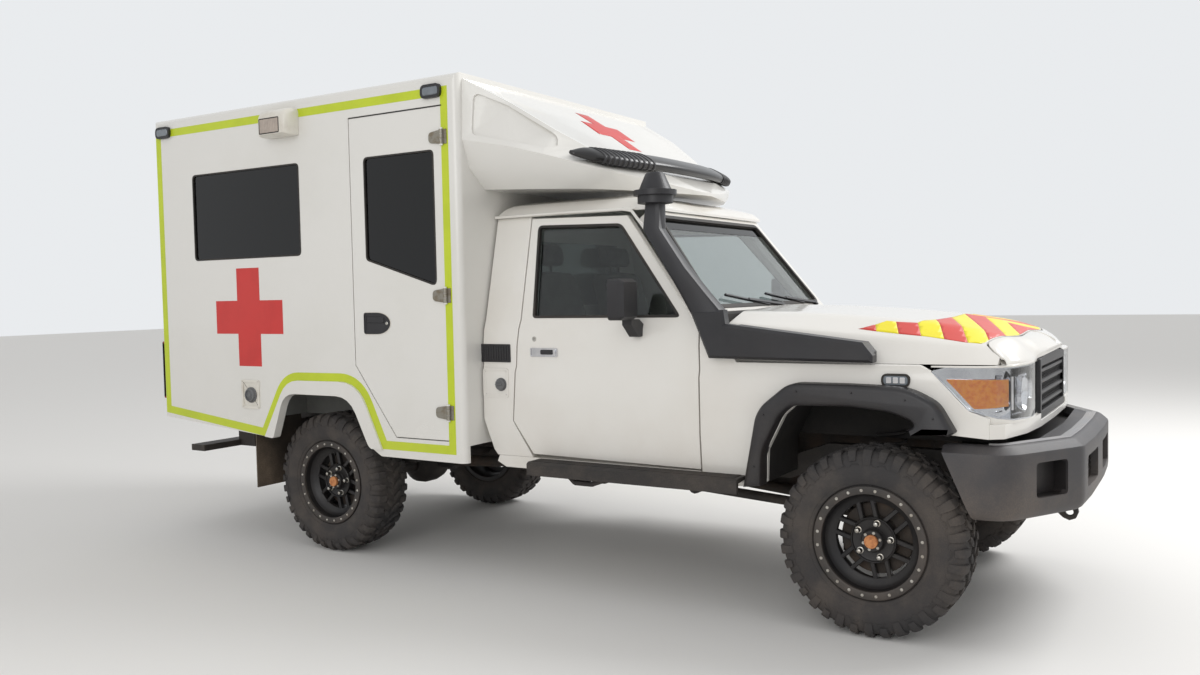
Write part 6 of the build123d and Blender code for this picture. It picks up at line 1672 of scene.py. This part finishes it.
# Stage
class AmbulanceStage(PropertyGroup):
    floor_color: FloatVectorProperty(name="Floor colour", description="Colour of the pale studio floor",
                                     subtype="COLOR", size=3, default=(0.78, 0.77, 0.75))
    sky_light: FloatProperty(name="Surrounding light", default=0.72, min=0.0,
                             description="Strength of the even light from all round")
    key_light: FloatProperty(name="Key light", description="Power of the large lamp above the bonnet",
                             default=520.0, min=0.0, unit="POWER")
    fill_light: FloatProperty(name="Fill light", description="Power of the lamp beside the camera",
                              default=130.0, min=0.0, unit="POWER")


CAMERA_PLACE = (3.198, -5.072, 1.477)
CAMERA_YAW, CAMERA_PITCH, CAMERA_ROLL = 0.5512, -0.0445, -0.0210
SENSOR_WIDTH = 36.0
FOCAL_PIXELS, PHOTO_WIDTH = 1027.22, 1200
FLOOR_HALF = 45.0
LAMPS = (("key_lamp", (5.5, 4.5, 7.0), "key_light"), ("fill_lamp", (2.0, -8.5, 4.0), "fill_light"))
LAMP_SIZE = 5.0
LAMP_TARGET = (0.3, 0, 1.1)
FLOOR_ROUGHNESS = 0.85
BACKDROP, BACKDROP_STRENGTH = (0.86, 0.88, 0.9, 1), 0.95
FAR_CLIP = 200


def aimed(place, target):
    """The matrix of a lamp at a place that looks at a target."""
    away = (Vector(place) - Vector(target)).to_track_quat("Z", "Y").to_matrix().to_4x4()
    away.translation = place
    return away


def set_stage(settings):
    floor_mesh = bpy.data.meshes.new("studio_floor")
    corners = box_about(0, 0, FLOOR_HALF, FLOOR_HALF)
    floor_mesh.from_pydata([(x, y, 0) for x, y in corners], [], [[0, 1, 2, 3]])
    paint, tree, skin = new_material("studio_floor")
    tree.feed_node(skin, {"Base Color": (*settings.floor_color, 1.0), "Roughness": FLOOR_ROUGHNESS})
    floor_mesh.materials.append(paint)
    placed("studio_floor", floor_mesh)

    scene = bpy.context.scene
    world = bpy.data.worlds.new("studio")
    world.use_nodes = True
    scene.world = world
    tree = Tree(world.node_tree)
    tree.nodes.clear()
    rays = tree.add("ShaderNodeLightPath").outputs
    seen = tree.maths("ADD", rays["Is Camera Ray"], rays["Is Glossy Ray"], clamp=True)
    seen = tree.maths("ADD", seen, rays["Is Transmission Ray"], clamp=True)
    light = tree.add("ShaderNodeBackground", {"Color": (1, 1, 1, 1), "Strength": settings.sky_light})
    pale = tree.add("ShaderNodeBackground", {"Color": BACKDROP, "Strength": BACKDROP_STRENGTH})
    both = tree.add("ShaderNodeMixShader", {0: seen, 1: light.outputs[0], 2: pale.outputs[0]})
    tree.add("ShaderNodeOutputWorld", {"Surface": both.outputs[0]})

    for name, place, setting in LAMPS:
        lamp = bpy.data.lights.new(name, "AREA")
        lamp.shape = "DISK"
        lamp.size = LAMP_SIZE
        lamp.energy = getattr(settings, setting)
        placed(name, lamp).matrix_world = aimed(place, LAMP_TARGET)

    camera = placed("photo_camera", bpy.data.cameras.new("photo_camera"))
    camera.data.sensor_width = SENSOR_WIDTH
    camera.data.lens = FOCAL_PIXELS / PHOTO_WIDTH * SENSOR_WIDTH
    camera.data.clip_end = FAR_CLIP
    camera.matrix_world = (Matrix.Translation(CAMERA_PLACE) @ Matrix.Rotation(CAMERA_YAW, 4, "Z")
                           @ Matrix.Rotation(pi / 2 + CAMERA_PITCH, 4, "X")
                           @ Matrix.Rotation(CAMERA_ROLL, 4, "Z"))
    scene.camera = camera
    scene.view_settings.view_transform = "Standard"


# Operators
def carried_out(settings, *steps):
    for step in steps:
        step(settings)
    return {"FINISHED"}


class AMBULANCE_OT_finishes(Operator):
    """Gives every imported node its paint, plastic, metal, glass or rubber"""
    bl_idname = "ambulance.finishes"
    bl_label = "Paint and Finish"

    def execute(self, context):
        make_finishes()
        dress_nodes()
        return {"FINISHED"}


class AMBULANCE_OT_bodywork(Operator):
    """Forms the smooth bonnet, nose panel, roof gutter, arch flares and arch liners"""
    bl_idname = "ambulance.bodywork"
    bl_label = "Smooth Bodywork"

    def execute(self, context):
        return carried_out(context.scene.ambulance_bodywork, make_bonnet, make_nose, make_gutter, make_flares,
                           make_arch_liner)


class AMBULANCE_OT_markings(Operator):
    """Lays the stripes, red crosses and bonnet chevrons on the bodywork"""
    bl_idname = "ambulance.markings"
    bl_label = "Markings"

    def execute(self, context):
        side_markings()
        top_markings()
        return {"FINISHED"}


class AMBULANCE_OT_wheels(Operator):
    """Builds the treaded tyres, the bolted rims and the brake discs"""
    bl_idname = "ambulance.wheels"
    bl_label = "Tyres and Rims"

    def execute(self, context):
        return carried_out(context.scene.ambulance_wheels, make_wheels)


class AMBULANCE_OT_lamps(Operator):
    """Builds the headlamps and the marker lamps on the wings"""
    bl_idname = "ambulance.lamps"
    bl_label = "Headlamps"

    def execute(self, context):
        return carried_out(context.scene.ambulance_lamps, make_headlamps, make_wing_lamps)


class AMBULANCE_OT_cab(Operator):
    """Adds the cab's handles, locks, vents, filler, window rubbers and mirror glass"""
    bl_idname = "ambulance.cab"
    bl_label = "Cab Fittings"

    def execute(self, context):
        return carried_out(context.scene.ambulance_cab, make_door_handles, make_cab_vents,
                           make_window_rubbers, make_mirrors)


class AMBULANCE_OT_body(Operator):
    """Adds the ambulance body's latches, hinges, window rubbers, lamps, light bar and mains inlet"""
    bl_idname = "ambulance.body"
    bl_label = "Ambulance Body Fittings"

    def execute(self, context):
        return carried_out(context.scene.ambulance_body, make_latch, make_hinges, make_box_windows,
                           make_side_lamps, make_light_bar, make_inlet, make_rear_fittings)


class AMBULANCE_OT_front(Operator):
    """Adds the bumper with its step ribs, the grille's mesh and the front springs"""
    bl_idname = "ambulance.front"
    bl_label = "Bumper and Grille"

    def execute(self, context):
        return carried_out(context.scene.ambulance_front, make_bumper, make_bumper_step, make_grille_mesh,
                           make_springs)


class AMBULANCE_OT_seats(Operator):
    """Upholsters the cab's two seats"""
    bl_idname = "ambulance.seats"
    bl_label = "Seats"

    def execute(self, context):
        return carried_out(context.scene.ambulance_seats, make_seats)


class AMBULANCE_OT_stage(Operator):
    """Sets the pale floor, the soft lamps and the camera"""
    bl_idname = "ambulance.stage"
    bl_label = "Studio Stage"

    def execute(self, context):
        return carried_out(context.scene.ambulance_stage, set_stage)


OPERATORS = (
    AMBULANCE_OT_finishes,
    AMBULANCE_OT_bodywork,
    AMBULANCE_OT_markings,
    AMBULANCE_OT_wheels,
    AMBULANCE_OT_lamps,
    AMBULANCE_OT_cab,
    AMBULANCE_OT_body,
    AMBULANCE_OT_front,
    AMBULANCE_OT_seats,
    AMBULANCE_OT_stage,
)
SETTINGS = {
    "ambulance_bodywork": AmbulanceBodywork,
    "ambulance_wheels": AmbulanceWheels,
    "ambulance_lamps": AmbulanceLamps,
    "ambulance_cab": AmbulanceCab,
    "ambulance_body": AmbulanceBody,
    "ambulance_front": AmbulanceFront,
    "ambulance_seats": AmbulanceSeats,
    "ambulance_stage": AmbulanceStage,
}


class AMBULANCE_PT_sidebar(Panel):
    """Lists the steps that dress the ambulance"""
    bl_idname = "AMBULANCE_PT_sidebar"
    bl_label = "Field Ambulance"
    bl_space_type = "VIEW_3D"
    bl_region_type = "UI"
    bl_category = "Ambulance"

    def draw(self, context):
        for label in SETTINGS:
            settings = getattr(context.scene, label)
            box = self.layout.box()
            for name in settings.__annotations__:
                box.prop(settings, name)
        for operator in OPERATORS:
            self.layout.operator(operator.bl_idname)


CLASSES = (*SETTINGS.values(), *OPERATORS, AMBULANCE_PT_sidebar)


def register():
    for item in CLASSES:
        bpy.utils.register_class(item)
    for label, group in SETTINGS.items():
        setattr(bpy.types.Scene, label, PointerProperty(type=group))


def unregister():
    for label in SETTINGS:
        delattr(bpy.types.Scene, label)
    for item in reversed(CLASSES):
        bpy.utils.unregister_class(item)


def main():
    register()
    for operator in OPERATORS:
        group, name = operator.bl_idname.split(".")
        getattr(getattr(bpy.ops, group), name)()


if __name__ == "__main__":
    main()
